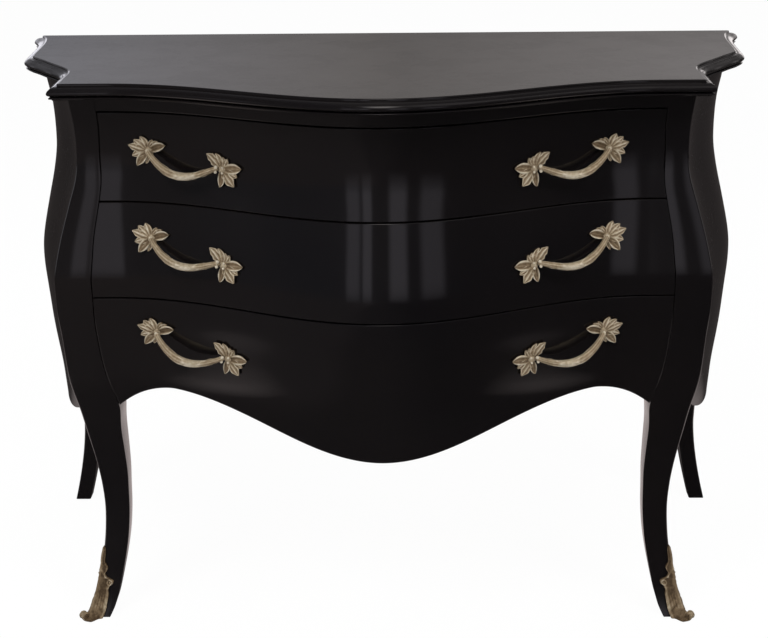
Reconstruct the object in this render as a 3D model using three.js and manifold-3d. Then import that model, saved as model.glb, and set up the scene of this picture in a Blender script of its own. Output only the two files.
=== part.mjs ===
// A black-lacquered commode chest: a serpentine front of three drawers, swelling sides,
// a moulded overhanging top, cabriole front legs with brass shoes, and cast leaf pulls.
// Millimetres. +Z is up, the drawers face -Y, and the origin is on the floor under the middle.
import * as THREE from 'three';
import { mergeVertices } from 'three/addons/utils/BufferGeometryUtils.js';
import Module from 'manifold-3d';

const wasm = await Module();
wasm.setup();

// Whole chest
const archHeight = 412;         // floor to the two arches of the apron
const lowerDrawerHeight = 148;  // from the arches up to the seam
const middleDrawerHeight = 141;
const upperDrawerHeight = 132;
const friezeHeight = 25;        // plain rail over the upper drawer
const topThickness = 22;
const cornerDepth = 420;        // back edge of the top to its two front corners
const bowDepth = 116;           // how far the serpentine front comes forward of the corners
const bowEndInset = 55;         // the posts' edges at the waist to where the bow begins
const pieceGap = 0.3;           // between pieces that seat on each other
const curveGap = 0.9;           // where the seat is curved

// Top
const moldingProjection = 16;   // the edge moulding stands this far out from the upper face
const cornerOverhang = 9;       // upper face's front corners, out past the posts' waist
const topFlare = 124;           // its back corners stand this much further out, each side

// Case
const arrisSetback = 30;        // the post's edge, behind the top's front corner, at the waist
const waistHalf = 450;          // half width over the posts' edges at the waist
const sideSwell = 41;           // the belly stands this far out of the waist, sideways
const frontSwell = 45;          // and this far forward
const flareWidth = 60;          // the sides' own serpentine, front to back
const flareStart = 50;          // behind the top's front corners
const flareRun = 200;
const sideSlopeShare = 0.1;     // the sides still part a little towards the back
const caseBackInset = 2;        // the case stops short of the top's back edge
const seamGap = 2;              // the dark line between fronts
const postFaceWidth = 56;       // front face of the post at the belly
const postDepth = 50;
const arrisBevel = 3;
const postBackBevel = 4;        // on the leg only

// Apron, below its arches
const archHalfWidth = 315;
const kneeDrop = 36;            // to where the apron meets the post
const apronDrop = 83;           // to the middle of the apron
const sideApronDrop = 124;      // to the lowest point of the side's apron
const backPanelDrop = 20;
const archRoundShare = 0.8;     // of the apron's curve is an S, and the rest a bowl

// Legs, with heights above the floor
const sideKneeHeight = 300;     // the side's shape stays the same below this
const ankleHeight = 200;
const backFlareHeight = 170;    // the back leg turns out below this
const ankleDepth = 32;
const footDepth = 36;
const ankleInset = 0.5;         // inner back corner, moved out from the inner front one
const backPostWidth = 36;
const backPostDepth = 40;
const backFootWidth = 29;
const backFootDepth = 28;
const backFootFlare = 31.5;
const backFootCurveShare = 1.5; // above 1 the leg turns out late, near the floor

// Boards
const frontThickness = 22;
const sideThickness = 18;
const backThickness = 10;
const railHeight = 20;
const railDepth = 40;
const railClearance = 1.5;      // drawer front to the rail behind it
const dustThickness = 10;
const dustSideGap = 3.5;        // board to the side panel's swelling inside
const bottomRailRise = 10;      // middle of the bottom rail over the apron's arches
const runnerWidth = 22;
const guideThickness = 12;
const guideHeight = 26;
const guideClearance = 1;       // drawer side to the guide beside it
const kickerWidth = 20;

// Drawer boxes
const boxSideClearance = 21;    // box to the narrowest place between the posts
const boxSideThickness = 12;
const boxBackThickness = 12;
const boxBottomThickness = 6;
const boxBottomRise = 4;        // lower edge of the sides to the bottom board
const boxHeadroom = 6;          // under the rail above
const boxBackDrop = 8;          // the back board is lower than the sides
const boxBackClearance = 15;    // box to the case's back

// Pulls
const pullHalfSpan = 62;        // middle of the pull to each rosette
const bowStandoff = 24;
const bowDrop = 19;
const bowRadius = 6.5;          // at its middle
const bowEndRadius = 3.4;
const bowFullnessShare = 1.1;   // below 1 the bow leaves its rosettes steeply
const leafLength = 33;          // longest leaf of a rosette
const leafGap = 0.9;            // leaves and bosses off the curved front
const leafThickness = 2.6;
const leafCrown = 2.2;          // the rosette's middle stands this much above its tips
const bossRadius = 6.5;
const bossHeight = 9;
const pullInset = 114;          // the drawer box's side to the middle of the pull
const pullShift = 5;            // each pair sits this far to the left of even places

// Pull screws
const screwRadius = 2;
const screwClearance = 0.3;
const screwBite = 6;            // into the boss
const screwHeadRadius = 4.5;
const screwHeadHeight = 2.5;
const headSlack = 1.8;          // under the head, off the curved inside of the front

// Brass shoes
const shoeHeight = 116;
const shoeThickness = 3.2;
const shoeFaceWidth = 24;       // over the foot's front face at the floor
const shoeSideWidth = 26;
const shoeTipWidth = 3;
const toeRadius = 7;
const toeLength = 12;

// Across the shoe, from its front edge round the arris to its side edge
const shoeAcrossShares = [-1, -0.66, -0.33, 0, 0.33, 0.66, 1];
// Heights of the rings of points on the posts, of the height
const postLevelShares = [
  0, 0.012, 0.025, 0.045, 0.08, 0.12, 0.165, 0.21, 0.26, 0.3, 0.34, 0.375, 0.4, 0.427, 0.46, 0.5, 0.54, 0.58,
  0.615, 0.64, 0.665, 0.685, 0.71, 0.74, 0.77, 0.8, 0.83, 0.86, 0.9, 0.94,
];
const backPostLevelShares = [
  0, 0.03, 0.06, 0.1, 0.14, 0.19, 0.25, 0.34, 0.42, 0.5, 0.56, 0.61, 0.66, 0.7, 0.74, 0.78, 0.83, 0.88, 0.93,
];
// Shares, chosen by hand: of the height, then of the swell
const swellShares = [
  [0, 0.97], [0.02, 0.78], [0.04, 0.65], [0.068, 0.49], [0.114, 0.32], [0.165, 0.18], [0.216, 0.12],
  [0.261, 0.16], [0.3, 0.24], [0.335, 0.34], [0.369, 0.45], [0.42, 0.61], [0.46, 0.78], [0.483, 0.85],
  [0.528, 0.9], [0.5625, 0.93], [0.614, 1], [0.665, 1], [0.693, 0.9], [0.733, 0.71], [0.795, 0.34],
  [0.841, 0.07], [0.886, 0], [0.92, 0.02], [0.966, 0.12], [1, 0.16],
];
// The sides keep more of the belly than the posts do, down to their apron
const sideSwellShares = [
  [0.3, 0.52], [0.334, 0.575], [0.367, 0.61], [0.401, 0.645], [0.434, 0.715], [0.48, 0.82], [0.51, 0.87],
  [0.54, 0.905], [0.575, 0.95], [0.61, 0.99], [0.64, 0.975], [0.665, 0.895], [0.693, 0.76], [0.72, 0.61],
  [0.751, 0.435], [0.781, 0.26], [0.811, 0.12], [0.841, 0.02], [0.886, 0], [0.92, 0.03], [0.945, 0.12],
  [0.966, 0.2], [1, 0.25],
];
// Of the height, then of the post's face at the belly
const postWidthShares = [
  [0, 0.635], [0.02, 0.665], [0.045, 0.645], [0.068, 0.636], [0.114, 0.67], [0.148, 0.69], [0.216, 0.715],
  [0.25, 0.755],
  [0.284, 0.82], [0.3125, 0.865], [0.347, 0.93], [0.381, 1], [0.409, 1.1], [0.426, 1.16], [0.477, 1.08],
  [0.523, 1], [0.568, 0.965], [0.636, 1], [0.682, 0.98], [0.744, 0.866], [0.795, 0.786], [0.875, 0.61],
  [0.943, 0.68], [1, 0.7],
];
// Edge of the top's upper face, front to back: outward of the front corner, then of the depth
const topSideShares = [
  [0.016, 0.12], [0.021, 0.18], [0.042, 0.225], [0.106, 0.27], [0.218, 0.321], [0.355, 0.374], [0.541, 0.45],
  [0.694, 0.51], [0.755, 0.552], [0.775, 0.62], [0.798, 0.714], [0.831, 0.821], [0.889, 0.917], [1, 1],
];
// Edge moulding, top to bottom: of its projection, then of the thickness
const moldingShares = [
  [0, 0], [0.14, 0.05], [0.18, 0.14], [0.55, 0.22], [0.86, 0.4], [1, 0.62], [0.74, 0.75], [0.84, 0.88], [0.6, 1],
];
// A rosette's leaves: direction in degrees from the outward one, then of the longest leaf
const leafShares = [[140, 0.86], [65, 0.72], [12, 1], [-34, 0.9], [-98, 0.62]];
const leafWaistShare = 0.28;    // between two leaves
const leafShoulderShare = 0.55; // a leaf is still this far out of its waist
const leafShoulderTurn = 0.26;  // radians to each side of its rib
// The shoe's outline, floor to tip: of its height, then of its width
const shoeShares = [
  [0, 1], [0.05, 1], [0.14, 0.96], [0.22, 0.88], [0.3, 0.83], [0.38, 0.71], [0.43, 0.78], [0.475, 0.98],
  [0.52, 0.7], [0.56, 0.35], [0.61, 0.2], [0.68, 0.34], [0.74, 0.16], [0.8, 0.05], [0.9, 0.03], [1, 0],
];
// Tilt of the pulls on the three drawers, in degrees, and their height over the middle and lower seams
const pullTilts = [9, 13.5, 14];
const pullRises = [64, 75, -68.5];

const black = { color: 0x141216, roughness: 0.16, metalness: 0 };
const wood = { color: 0xa9814f, roughness: 0.7, metalness: 0 };
const brass = { color: 0xb9a06a, roughness: 0.35, metalness: 1 };
const steel = { color: 0x9a9a9a, roughness: 0.4, metalness: 1 };

const commode = new THREE.Group();

// Planes worked out from the sizes above
const overallDepth = cornerDepth + bowDepth + moldingProjection;
const backPlane = overallDepth / 2;
const cornerPlane = backPlane - cornerDepth;
const caseBack = backPlane - caseBackInset;
const bowHalfWidth = waistHalf - bowEndInset;
const lowerSeam = archHeight + lowerDrawerHeight;
const middleSeam = lowerSeam + middleDrawerHeight;
const upperSeam = middleSeam + upperDrawerHeight;
const caseTop = upperSeam + friezeHeight;
const chestHeight = caseTop + topThickness;
const kneeHeight = archHeight - kneeDrop;
const dropHeight = archHeight - apronDrop;
const sideApronHeight = archHeight - sideApronDrop;
const backPanelFoot = archHeight - backPanelDrop;
const bottomLevel = archHeight + bottomRailRise;
const topCornerHalf = waistHalf + cornerOverhang;
const topBackHalf = topCornerHalf + topFlare;
const boxBack = caseBack - backThickness - boxBackClearance;
const backPostFront = caseBack - backPostDepth;

// A smooth curve through a table, without overshoot
function curveThrough(table) {
  const slopes = table.slice(1).map(([x, y], i) => (y - table[i][1]) / (x - table[i][0]));
  const tangents = table.map((_, i) => {
    const before = slopes[i - 1];
    const after = slopes[i];
    if (before === undefined) return after;
    if (after === undefined) return before;
    return before * after <= 0 ? 0 : (2 * before * after) / (before + after);
  });
  return (x) => {
    const last = table.length - 2;
    const i = Math.max(0, Math.min(last, table.findLastIndex(([start]) => start <= x)));
    const run = table[i + 1][0] - table[i][0];
    const t = Math.max(0, Math.min(1, (x - table[i][0]) / run));
    const rise = t * t * (3 - 2 * t);
    const bend = tangents[i] * t * (1 - t) * (1 - t) - tangents[i + 1] * t * t * (1 - t);
    return table[i][1] + (table[i + 1][1] - table[i][1]) * rise + run * bend;
  };
}

const roundSides = 8;           // of screws, bosses and their holes
const mix = (a, b, t) => a + (b - a) * t;
const smooth = (t) => THREE.MathUtils.smoothstep(t, 0, 1);
const steps = (count) => Array.from({ length: count + 1 }, (_, i) => i / count);

const swellCurve = curveThrough(swellShares);
const sideSwellCurve = curveThrough(sideSwellShares);
const postWidthCurve = curveThrough(postWidthShares);
const swell = (z) => swellCurve(z / chestHeight);

// The serpentine of the front, 1 in the middle and 0 at the posts
function serpentine(x) {
  const wave = Math.cos((Math.PI * Math.min(Math.abs(x), bowHalfWidth)) / (2 * bowHalfWidth));
  return wave * wave;
}

const arrisX = (z) => waistHalf + sideSwell * swell(z);
const arrisY = (z) => cornerPlane + arrisSetback - frontSwell * swell(z);
const frontY = (x, z) => arrisY(z) - bowDepth * serpentine(x);
const seamX = (z) => arrisX(z) - postFaceWidth * postWidthCurve(z / chestHeight);

const narrowSeam = Math.min(...steps(40).map((t) => seamX(mix(bottomLevel, upperSeam, t))));
const boxHalfWidth = narrowSeam - boxSideClearance;
const pullOffset = boxHalfWidth - pullInset;

function flare(y) {
  const back = y - cornerPlane;
  return flareWidth * smooth((back - flareStart) / flareRun) + sideSlopeShare * Math.max(0, back - arrisSetback);
}

// Outer face of the side, which leaves the post's swell for its own between post and middle
function sideX(y, z) {
  const own = smooth((y - cornerPlane - flareStart) / flareRun);
  const sideShare = sideSwellCurve(Math.max(z, sideKneeHeight) / chestHeight);
  return waistHalf + sideSwell * mix(swell(z), sideShare, own) + flare(y);
}

// A Manifold and a geometry of the same triangles
function toManifold(geometry) {
  const bare = geometry.clone();
  for (const name of Object.keys(bare.attributes)) {
    if (name !== 'position') bare.deleteAttribute(name);
  }
  const merged = mergeVertices(bare);
  const vertProperties = Float32Array.from(merged.attributes.position.array);
  const triVerts = Uint32Array.from(merged.index.array);
  return new wasm.Manifold(new wasm.Mesh({ numProp: 3, vertProperties, triVerts }));
}

function toGeometry(solid) {
  const mesh = solid.getMesh();
  const geometry = new THREE.BufferGeometry();
  geometry.setAttribute('position', new THREE.BufferAttribute(Float32Array.from(mesh.vertProperties), 3));
  geometry.setIndex(new THREE.BufferAttribute(Uint32Array.from(mesh.triVerts), 1));
  return geometry;
}

// Triangles over listed points, turned outward if they come out inside out
function fromTriangles(points, triangles) {
  let volume = 0;
  for (const [a, b, c] of triangles) {
    volume += points[a].dot(points[b].clone().cross(points[c]));
  }
  const order = volume > 0 ? triangles : triangles.map(([a, b, c]) => [a, c, b]);
  const geometry = new THREE.BufferGeometry();
  geometry.setFromPoints(points);
  geometry.setIndex(order.flat());
  return geometry;
}

// The solid between two sheets of points, each a list of rows
function sheetSolid(outer, inner) {
  const rows = outer.length;
  const columns = outer[0].length;
  const points = [...outer.flat(), ...inner.flat()];
  const at = (sheet, i, j) => sheet * rows * columns + i * columns + j;
  const triangles = [];
  const quad = (a, b, c, d) => triangles.push([a, b, c], [a, c, d]);
  for (let i = 0; i < rows - 1; i += 1) {
    for (let j = 0; j < columns - 1; j += 1) {
      quad(at(0, i, j), at(0, i, j + 1), at(0, i + 1, j + 1), at(0, i + 1, j));
      quad(at(1, i, j), at(1, i + 1, j), at(1, i + 1, j + 1), at(1, i, j + 1));
    }
    quad(at(0, i, 0), at(0, i + 1, 0), at(1, i + 1, 0), at(1, i, 0));
    const end = columns - 1;
    quad(at(0, i, end), at(1, i, end), at(1, i + 1, end), at(0, i + 1, end));
  }
  for (let j = 0; j < columns - 1; j += 1) {
    quad(at(0, 0, j), at(1, 0, j), at(1, 0, j + 1), at(0, 0, j + 1));
    const end = rows - 1;
    quad(at(0, end, j), at(0, end, j + 1), at(1, end, j + 1), at(1, end, j));
  }
  return fromTriangles(points, triangles);
}

// The solid through closed loops of points, lowest first, with its ends closed
function loftSolid(loops) {
  const count = loops[0].length;
  const points = loops.flat();
  const triangles = [];
  for (let i = 0; i < loops.length - 1; i += 1) {
    for (let j = 0; j < count; j += 1) {
      const next = (j + 1) % count;
      const a = i * count + j;
      const b = i * count + next;
      triangles.push([a, b, b + count], [a, b + count, a + count]);
    }
  }
  const flat = (loop) => loop.map((p) => new THREE.Vector2(p.x, p.y));
  const turned = THREE.ShapeUtils.isClockWise(flat(loops[0]));
  const capOf = (loop) => THREE.ShapeUtils.triangulateShape(turned ? flat(loop).reverse() : flat(loop), []);
  const index = (j) => (turned ? count - 1 - j : j);
  const top = (loops.length - 1) * count;
  for (const [a, b, c] of capOf(loops[0])) {
    const low = [index(a), index(b), index(c)];
    triangles.push(turned ? low : low.reverse());
  }
  for (const [a, b, c] of capOf(loops.at(-1))) {
    const high = [top + index(a), top + index(b), top + index(c)];
    triangles.push(turned ? high.reverse() : high);
  }
  return fromTriangles(points, triangles);
}

const point = (x, y, z) => new THREE.Vector3(x, y, z);
const mirrored = (loop) => loop.map((p) => point(-p.x, p.y, p.z));

// A board of even thickness whose outline is seen from above
function plate(outline, low, high) {
  const shape = new THREE.Shape(outline.map(([x, y]) => new THREE.Vector2(x, y)));
  const geometry = new THREE.ExtrudeGeometry(shape, { depth: high - low, bevelEnabled: false });
  geometry.translate(0, 0, low);
  return geometry;
}

function block(low, high) {
  const size = high.clone().sub(low);
  const geometry = new THREE.BoxGeometry(size.x, size.y, size.z);
  geometry.translate((low.x + high.x) / 2, (low.y + high.y) / 2, (low.z + high.z) / 2);
  return geometry;
}

function add(name, geometry, look) {
  const mesh = new THREE.Mesh(geometry, new THREE.MeshStandardMaterial(look));
  mesh.name = name;
  commode.add(mesh);
}

const hands = [['left', -1], ['right', 1]];

// Top board: one outline, carried out and down along the moulding
function topOutline() {
  const frontSteps = 13;
  const half = steps(frontSteps).map((t) => {
    const x = t * bowHalfWidth;
    return [x, cornerPlane - bowDepth * serpentine(x)];
  });
  half.push([topCornerHalf, cornerPlane]);
  for (const [across, back] of topSideShares) {
    half.push([mix(topCornerHalf, topBackHalf, across), cornerPlane + back * cornerDepth]);
  }
  const left = half.slice(1).reverse().map(([x, y]) => [-x, y]);
  return [...half, ...left].map(([x, y]) => new THREE.Vector2(x, y));
}

// Each corner of an outline moved out square to both of its edges; the back edge stays put
function grown(outline, offset) {
  const count = outline.length;
  return outline.map((corner, i) => {
    const before = corner.clone().sub(outline[(i + count - 1) % count]).normalize();
    const after = outline[(i + 1) % count].clone().sub(corner).normalize();
    const normalBefore = new THREE.Vector2(before.y, -before.x);
    const normalAfter = new THREE.Vector2(after.y, -after.x);
    const sum = normalBefore.clone().add(normalAfter);
    const moved = corner.clone().addScaledVector(sum, (2 * offset) / sum.lengthSq());
    const onBack = Math.abs(corner.y - backPlane) < pieceGap;
    if (onBack) {
      const side = corner.x > 0 ? normalBefore : normalAfter;
      return new THREE.Vector2(corner.x + offset / side.x, backPlane);
    }
    return moved;
  });
}

const outline = topOutline();
const moldingLoops = moldingShares.map(([out, down]) => {
  const z = chestHeight - down * topThickness;
  return grown(outline, out * moldingProjection).map((p) => point(p.x, p.y, z));
});
add('top_board', loftSolid(moldingLoops.reverse()), black);

// Front posts, each in one piece with its cabriole leg
const postLevels = postLevelShares.map((share) => share * chestHeight);
postLevels.push(caseTop - pieceGap);

// The straight runs that facets make of a curve, so that what seats on them follows them
function faceted(levels, f) {
  return (z) => {
    const i = Math.max(0, Math.min(levels.length - 2, levels.findLastIndex((level) => level <= z)));
    return mix(f(levels[i]), f(levels[i + 1]), (z - levels[i]) / (levels[i + 1] - levels[i]));
  };
}

// 0 on the post, 1 at the ankle and below
const legShare = (z) => smooth((kneeHeight - z) / (kneeHeight - ankleHeight));

function postBackY(z) {
  const low = mix(footDepth, ankleDepth, smooth(z / ankleHeight));
  return arrisY(z) + mix(postDepth, low, legShare(z));
}

function postLoop(z) {
  const x = arrisX(z);
  const y = arrisY(z);
  const back = postBackY(z);
  const inner = seamX(z);
  const leg = legShare(z);
  const innerBack = inner + ankleInset * leg;
  const bevel = pieceGap + postBackBevel * leg;
  const outerBack = x + mix(flare(back), 0, leg);
  return [
    point(inner, y, z),
    point(x - arrisBevel, y, z),
    point(x, y + arrisBevel, z),
    point(outerBack, back - bevel, z),
    point(outerBack - bevel, back, z),
    point(innerBack + bevel, back, z),
    point(innerBack, back - bevel, z),
  ];
}

const seamEdge = faceted(postLevels, seamX);
const postBackEdge = faceted(postLevels, postBackY);

for (const [hand, sign] of hands) {
  const loops = postLevels.map((z) => (sign > 0 ? postLoop(z) : mirrored(postLoop(z))));
  add(`front_${hand}_post`, loftSolid(loops), black);
}

// Back posts and legs
const backPostLevels = backPostLevelShares.map((share) => share * chestHeight);
backPostLevels.push(caseTop - pieceGap);

function backPostOuter(z) {
  const turn = Math.max(0, 1 - z / backFlareHeight) ** backFootCurveShare;
  return sideX(caseBack - backPostDepth / 2, z) + backFootFlare * turn;
}

const backPostInner = (z) => backPostOuter(z) - mix(backFootWidth, backPostWidth, smooth(z / sideKneeHeight));

function backPostLoop(z) {
  const outer = backPostOuter(z);
  const inner = backPostInner(z);
  const front = caseBack - mix(backFootDepth, backPostDepth, smooth(z / sideKneeHeight));
  const middle = (front + caseBack) / 2;
  const lead = flare(front) - flare(middle);
  const trail = flare(caseBack) - flare(middle);
  return [point(inner, front, z), point(outer + lead, front, z), point(outer + trail, caseBack, z), point(inner, caseBack, z)];
}

const backPostEdge = faceted(backPostLevels, backPostInner);

for (const [hand, sign] of hands) {
  const loops = backPostLevels.map((z) => (sign > 0 ? backPostLoop(z) : mirrored(backPostLoop(z))));
  add(`back_${hand}_post`, loftSolid(loops), black);
}

// Side panels, with their own apron
function sideApron(y) {
  const front = postBackY(kneeHeight);
  const t = (y - front) / (backPostFront - front);
  const dip = Math.sin(Math.PI * t);
  return mix(kneeHeight, sideApronHeight, dip * dip);
}

const sideRows = 15;
const sideColumns = 7;

function sidePanel(sign) {
  const sheet = (depth) => steps(sideRows).map((v) => steps(sideColumns).map((u) => {
    const guess = mix(cornerPlane + arrisSetback + postDepth, backPostFront, u);
    const z = mix(sideApron(guess), caseTop - pieceGap, v);
    const y = mix(postBackEdge(z) + curveGap, backPostFront - pieceGap, u);
    return point(sign * (sideX(y, z) - depth), y, z);
  }));
  return sheetSolid(sheet(0), sheet(sideThickness));
}

for (const [hand, sign] of hands) {
  add(`${hand}_side_panel`, sidePanel(sign), black);
}

// Back panel, let in between the back posts
const backLevels = backPostLevels.filter((z) => z > backPanelFoot);
backLevels.unshift(backPanelFoot);
const backRight = backLevels.map((z) => [backPostEdge(z) - pieceGap, z]);
const backLeft = backRight.map(([x, z]) => [-x, z]).reverse();
const backPanel = plate([...backRight, ...backLeft], 0, backThickness);
backPanel.rotateX(Math.PI / 2);
backPanel.translate(0, caseBack, 0);
add('back_panel', backPanel, wood);

// A curved board that follows the front, between two heights and two depths behind the face
function frontBoard(low, high, rows, columns, nearDepth, farY, edgeGap) {
  const sheet = (yAt) => steps(rows).map((v) => steps(columns).map((u) => {
    const z = mix(low, high, v);
    const x = mix(-1, 1, u) * (seamEdge(z) - edgeGap);
    return point(x, yAt(x, z), z);
  }));
  return sheetSolid(sheet((x, z) => frontY(x, z) + nearDepth), sheet(farY));
}

const behindFront = frontThickness + railClearance;
const frontColumns = 26;

add('frieze_rail', frontBoard(
  upperSeam + seamGap / 2, caseTop - pieceGap, 1, frontColumns, 0,
  (x, z) => frontY(x, z) + frontThickness, pieceGap,
), black);

// Rails behind the seams, and the boards behind them
const levels = [['upper', middleSeam], ['middle', lowerSeam], ['bottom', bottomLevel]];
const boardNames = { upper: 'upper_dust_board', middle: 'lower_dust_board', bottom: 'bottom_board' };
const railNames = { upper: 'upper_drawer_rail', middle: 'lower_drawer_rail', bottom: 'bottom_rail' };
const railBack = (x, z) => frontY(x, z) + behindFront + railDepth;

function dustOutline(level) {
  const right = [];
  const reach = (y) => sideX(y, level) - sideThickness - dustSideGap;
  const front = railBack(seamX(level), level) + curveGap;
  for (const t of steps(frontColumns / 2)) {
    const x = t * (seamEdge(level) - pieceGap);
    right.push([x, railBack(x, level) + curveGap]);
  }
  for (const t of steps(8)) {
    const y = mix(front, backPostFront - pieceGap, t);
    right.push([reach(y), y]);
  }
  const nearLevels = [-1, 0, 1].map((t) => backPostEdge(level + (t * dustThickness) / 2));
  const notch = Math.min(...nearLevels) - pieceGap;
  right.push([notch, backPostFront - pieceGap]);
  right.push([notch, caseBack - backThickness - pieceGap]);
  const left = right.slice(1).reverse().map(([x, y]) => [-x, y]);
  return [...right, ...left];
}

for (const [place, level] of levels) {
  add(railNames[place], frontBoard(
    level - railHeight / 2, level + railHeight / 2, 1, frontColumns, behindFront,
    (x) => railBack(x, level), pieceGap,
  ), wood);
  add(boardNames[place], plate(dustOutline(level), level - dustThickness / 2, level + dustThickness / 2), wood);
}

// Runners, one each side under each drawer, with a guide beside the drawer
function runner(level, sign) {
  const base = level + dustThickness / 2 + pieceGap;
  const slide = level + railHeight / 2;
  const guide = boxHalfWidth + guideClearance;
  const outline = [
    [boxHalfWidth - runnerWidth, base], [guide + guideThickness, base],
    [guide + guideThickness, base + guideHeight], [guide, base + guideHeight],
    [guide, slide], [boxHalfWidth - runnerWidth, slide],
  ];
  const front = railBack(bowHalfWidth, level) + curveGap;
  const length = caseBack - backThickness - pieceGap - front;
  const geometry = plate(outline, 0, length);
  geometry.rotateX(Math.PI / 2);
  geometry.translate(0, front + length, 0);
  if (sign < 0) geometry.rotateZ(Math.PI).translate(0, front + front + length, 0);
  return geometry;
}

for (const [place, level] of levels) {
  for (const [hand, sign] of hands) {
    add(`${place}_${hand}_runner`, runner(level, sign), wood);
  }
}

// Strips over the upper drawer that keep it from tipping
for (const [hand, sign] of hands) {
  const low = upperSeam + seamGap;
  const frontMost = frontY(boxHalfWidth, low) + frontThickness + curveGap;
  const near = boxHalfWidth - kickerWidth;
  const [xLow, xHigh] = sign > 0 ? [near, boxHalfWidth] : [-boxHalfWidth, -near];
  add(`${hand}_kicker`, block(
    point(xLow, frontMost, low),
    point(xHigh, caseBack - backThickness - pieceGap, caseTop - pieceGap),
  ), wood);
}

// The front's own directions at a point: across, up, and out of the face
function frontFrame(x, z) {
  const reach = bowEndRadius;
  const across = point(2 * reach, frontY(x + reach, z) - frontY(x - reach, z), 0).normalize();
  const up = point(0, frontY(x, z + reach) - frontY(x, z - reach), 2 * reach).normalize();
  const out = across.clone().cross(up).normalize();
  return { across, out };
}

// Carries a point of a pull's own space (along, up, out) onto the swelling front
function pullSeat(drawer, sign) {
  const z0 = drawer.pullHeight;
  const x0 = sign * pullOffset - pullShift;
  const tilt = THREE.MathUtils.degToRad(drawer.tilt) * sign;
  const { across, out } = frontFrame(x0, z0);
  const shrink = across.x;
  const rise = Math.hypot(out.y, out.x) / Math.hypot(out.x, out.y, out.z);
  return (along, up, away) => {
    const dx = (along * Math.cos(tilt) - up * Math.sin(tilt)) * shrink;
    const dz = (along * Math.sin(tilt) + up * Math.cos(tilt)) * rise;
    const x = x0 + dx;
    const z = z0 + dz;
    return point(x, frontY(x, z), z).addScaledVector(out, away);
  };
}

function bend(geometry, place) {
  const position = geometry.attributes.position;
  for (let i = 0; i < position.count; i += 1) {
    const p = place(position.getX(i), position.getY(i), position.getZ(i));
    position.setXYZ(i, p.x, p.y, p.z);
  }
  return geometry;
}

// A rosette's leaves as one crowned plate in the pull's own space; outward is +1 or -1 along it
function rosette(outward) {
  const tips = leafShares.map(([angle, share]) => [THREE.MathUtils.degToRad(angle), share * leafLength]);
  tips.sort((a, b) => a[0] - b[0]);
  const waist = leafWaistShare * leafLength;
  const rim = [];
  tips.forEach(([angle, reach], i) => {
    const [nextAngle, nextReach] = tips[(i + 1) % tips.length];
    const span = (nextAngle - angle + 2 * Math.PI) % (2 * Math.PI);
    const turn = Math.min(span / 4, leafShoulderTurn);
    rim.push([angle, reach]);
    rim.push([angle + turn, mix(waist, reach, leafShoulderShare)]);
    rim.push([angle + span / 2, waist]);
    rim.push([nextAngle - turn, mix(waist, nextReach, leafShoulderShare)]);
  });
  const place = ([angle, reach], away) => point(
    outward * (pullHalfSpan + Math.cos(angle) * reach), Math.sin(angle) * reach, away,
  );
  const low = leafGap;
  const count = rim.length;
  const points = [
    ...rim.map((corner) => place(corner, low)),
    ...rim.map((corner) => place(corner, low + leafThickness)),
    place([0, 0], low),
    place([0, 0], low + leafThickness + leafCrown),
  ];
  const triangles = [];
  for (let i = 0; i < count; i += 1) {
    const next = (i + 1) % count;
    triangles.push([i, next, count + next], [i, count + next, count + i]);
    triangles.push([next, i, 2 * count]);
    triangles.push([count + i, count + next, 2 * count + 1]);
  }
  return fromTriangles(points, triangles);
}

// The bow: a round bar thickened in the middle, from boss to boss
function bow() {
  const sides = 6;
  const rings = 12;
  const centreAt = (t) => {
    const lift = Math.sin(Math.PI * t) ** bowFullnessShare;
    const away = mix(bossHeight - bowEndRadius, bowStandoff, lift);
    return point(-pullHalfSpan * Math.cos(Math.PI * t), -bowDrop * lift, away);
  };
  const loops = steps(rings).map((t) => {
    const ahead = centreAt(Math.min(1, t + 0.5 / rings));
    const tangent = ahead.sub(centreAt(Math.max(0, t - 0.5 / rings))).normalize();
    const side = tangent.clone().cross(point(0, bowStandoff, bowDrop)).normalize();
    const other = tangent.clone().cross(side);
    const radius = mix(bowEndRadius, bowRadius, Math.sin(Math.PI * t) ** 2);
    return Array.from({ length: sides }, (_, i) => {
      const angle = (2 * Math.PI * i) / sides;
      return centreAt(t).addScaledVector(side, radius * Math.cos(angle))
        .addScaledVector(other, radius * Math.sin(angle));
    });
  });
  return tube(loops);
}

// The solid through closed loops whose ends are closed on their own middles
function tube(loops) {
  const count = loops[0].length;
  const centreOf = (loop) => loop.reduce((sum, p) => sum.add(p), point(0, 0, 0)).divideScalar(count);
  const points = [...loops.flat(), centreOf(loops[0]), centreOf(loops.at(-1))];
  const start = loops.length * count;
  const triangles = [];
  for (let j = 0; j < count; j += 1) {
    const next = (j + 1) % count;
    for (let i = 0; i < loops.length - 1; i += 1) {
      const a = i * count + j;
      const b = i * count + next;
      triangles.push([a, b, b + count], [a, b + count, a + count]);
    }
    triangles.push([next, j, start]);
    triangles.push([start - count + j, start - count + next, start + 1]);
  }
  return fromTriangles(points, triangles);
}

// A round bar in the pull's own space, standing out of the face
function pin(outward, radius, low, high) {
  const geometry = new THREE.CylinderGeometry(radius, radius, high - low, roundSides);
  geometry.rotateX(Math.PI / 2);
  geometry.translate(outward * pullHalfSpan, 0, (low + high) / 2);
  return geometry;
}

const rod = (radius, low, high) => [[0, low], [radius, low], [radius, high], [0, high]];

// A turned piece through the drawer front at a rosette, square to the pull
function screwBar(seat, outward, profile) {
  const geometry = new THREE.LatheGeometry(profile.map(([r, h]) => new THREE.Vector2(r, h)), roundSides);
  const start = seat(outward * pullHalfSpan, 0, 0);
  const end = seat(outward * pullHalfSpan, 0, screwBite);
  const turn = new THREE.Quaternion().setFromUnitVectors(point(0, 1, 0), end.clone().sub(start).normalize());
  geometry.applyQuaternion(turn);
  geometry.translate(start.x, start.y, start.z);
  return geometry;
}

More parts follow.
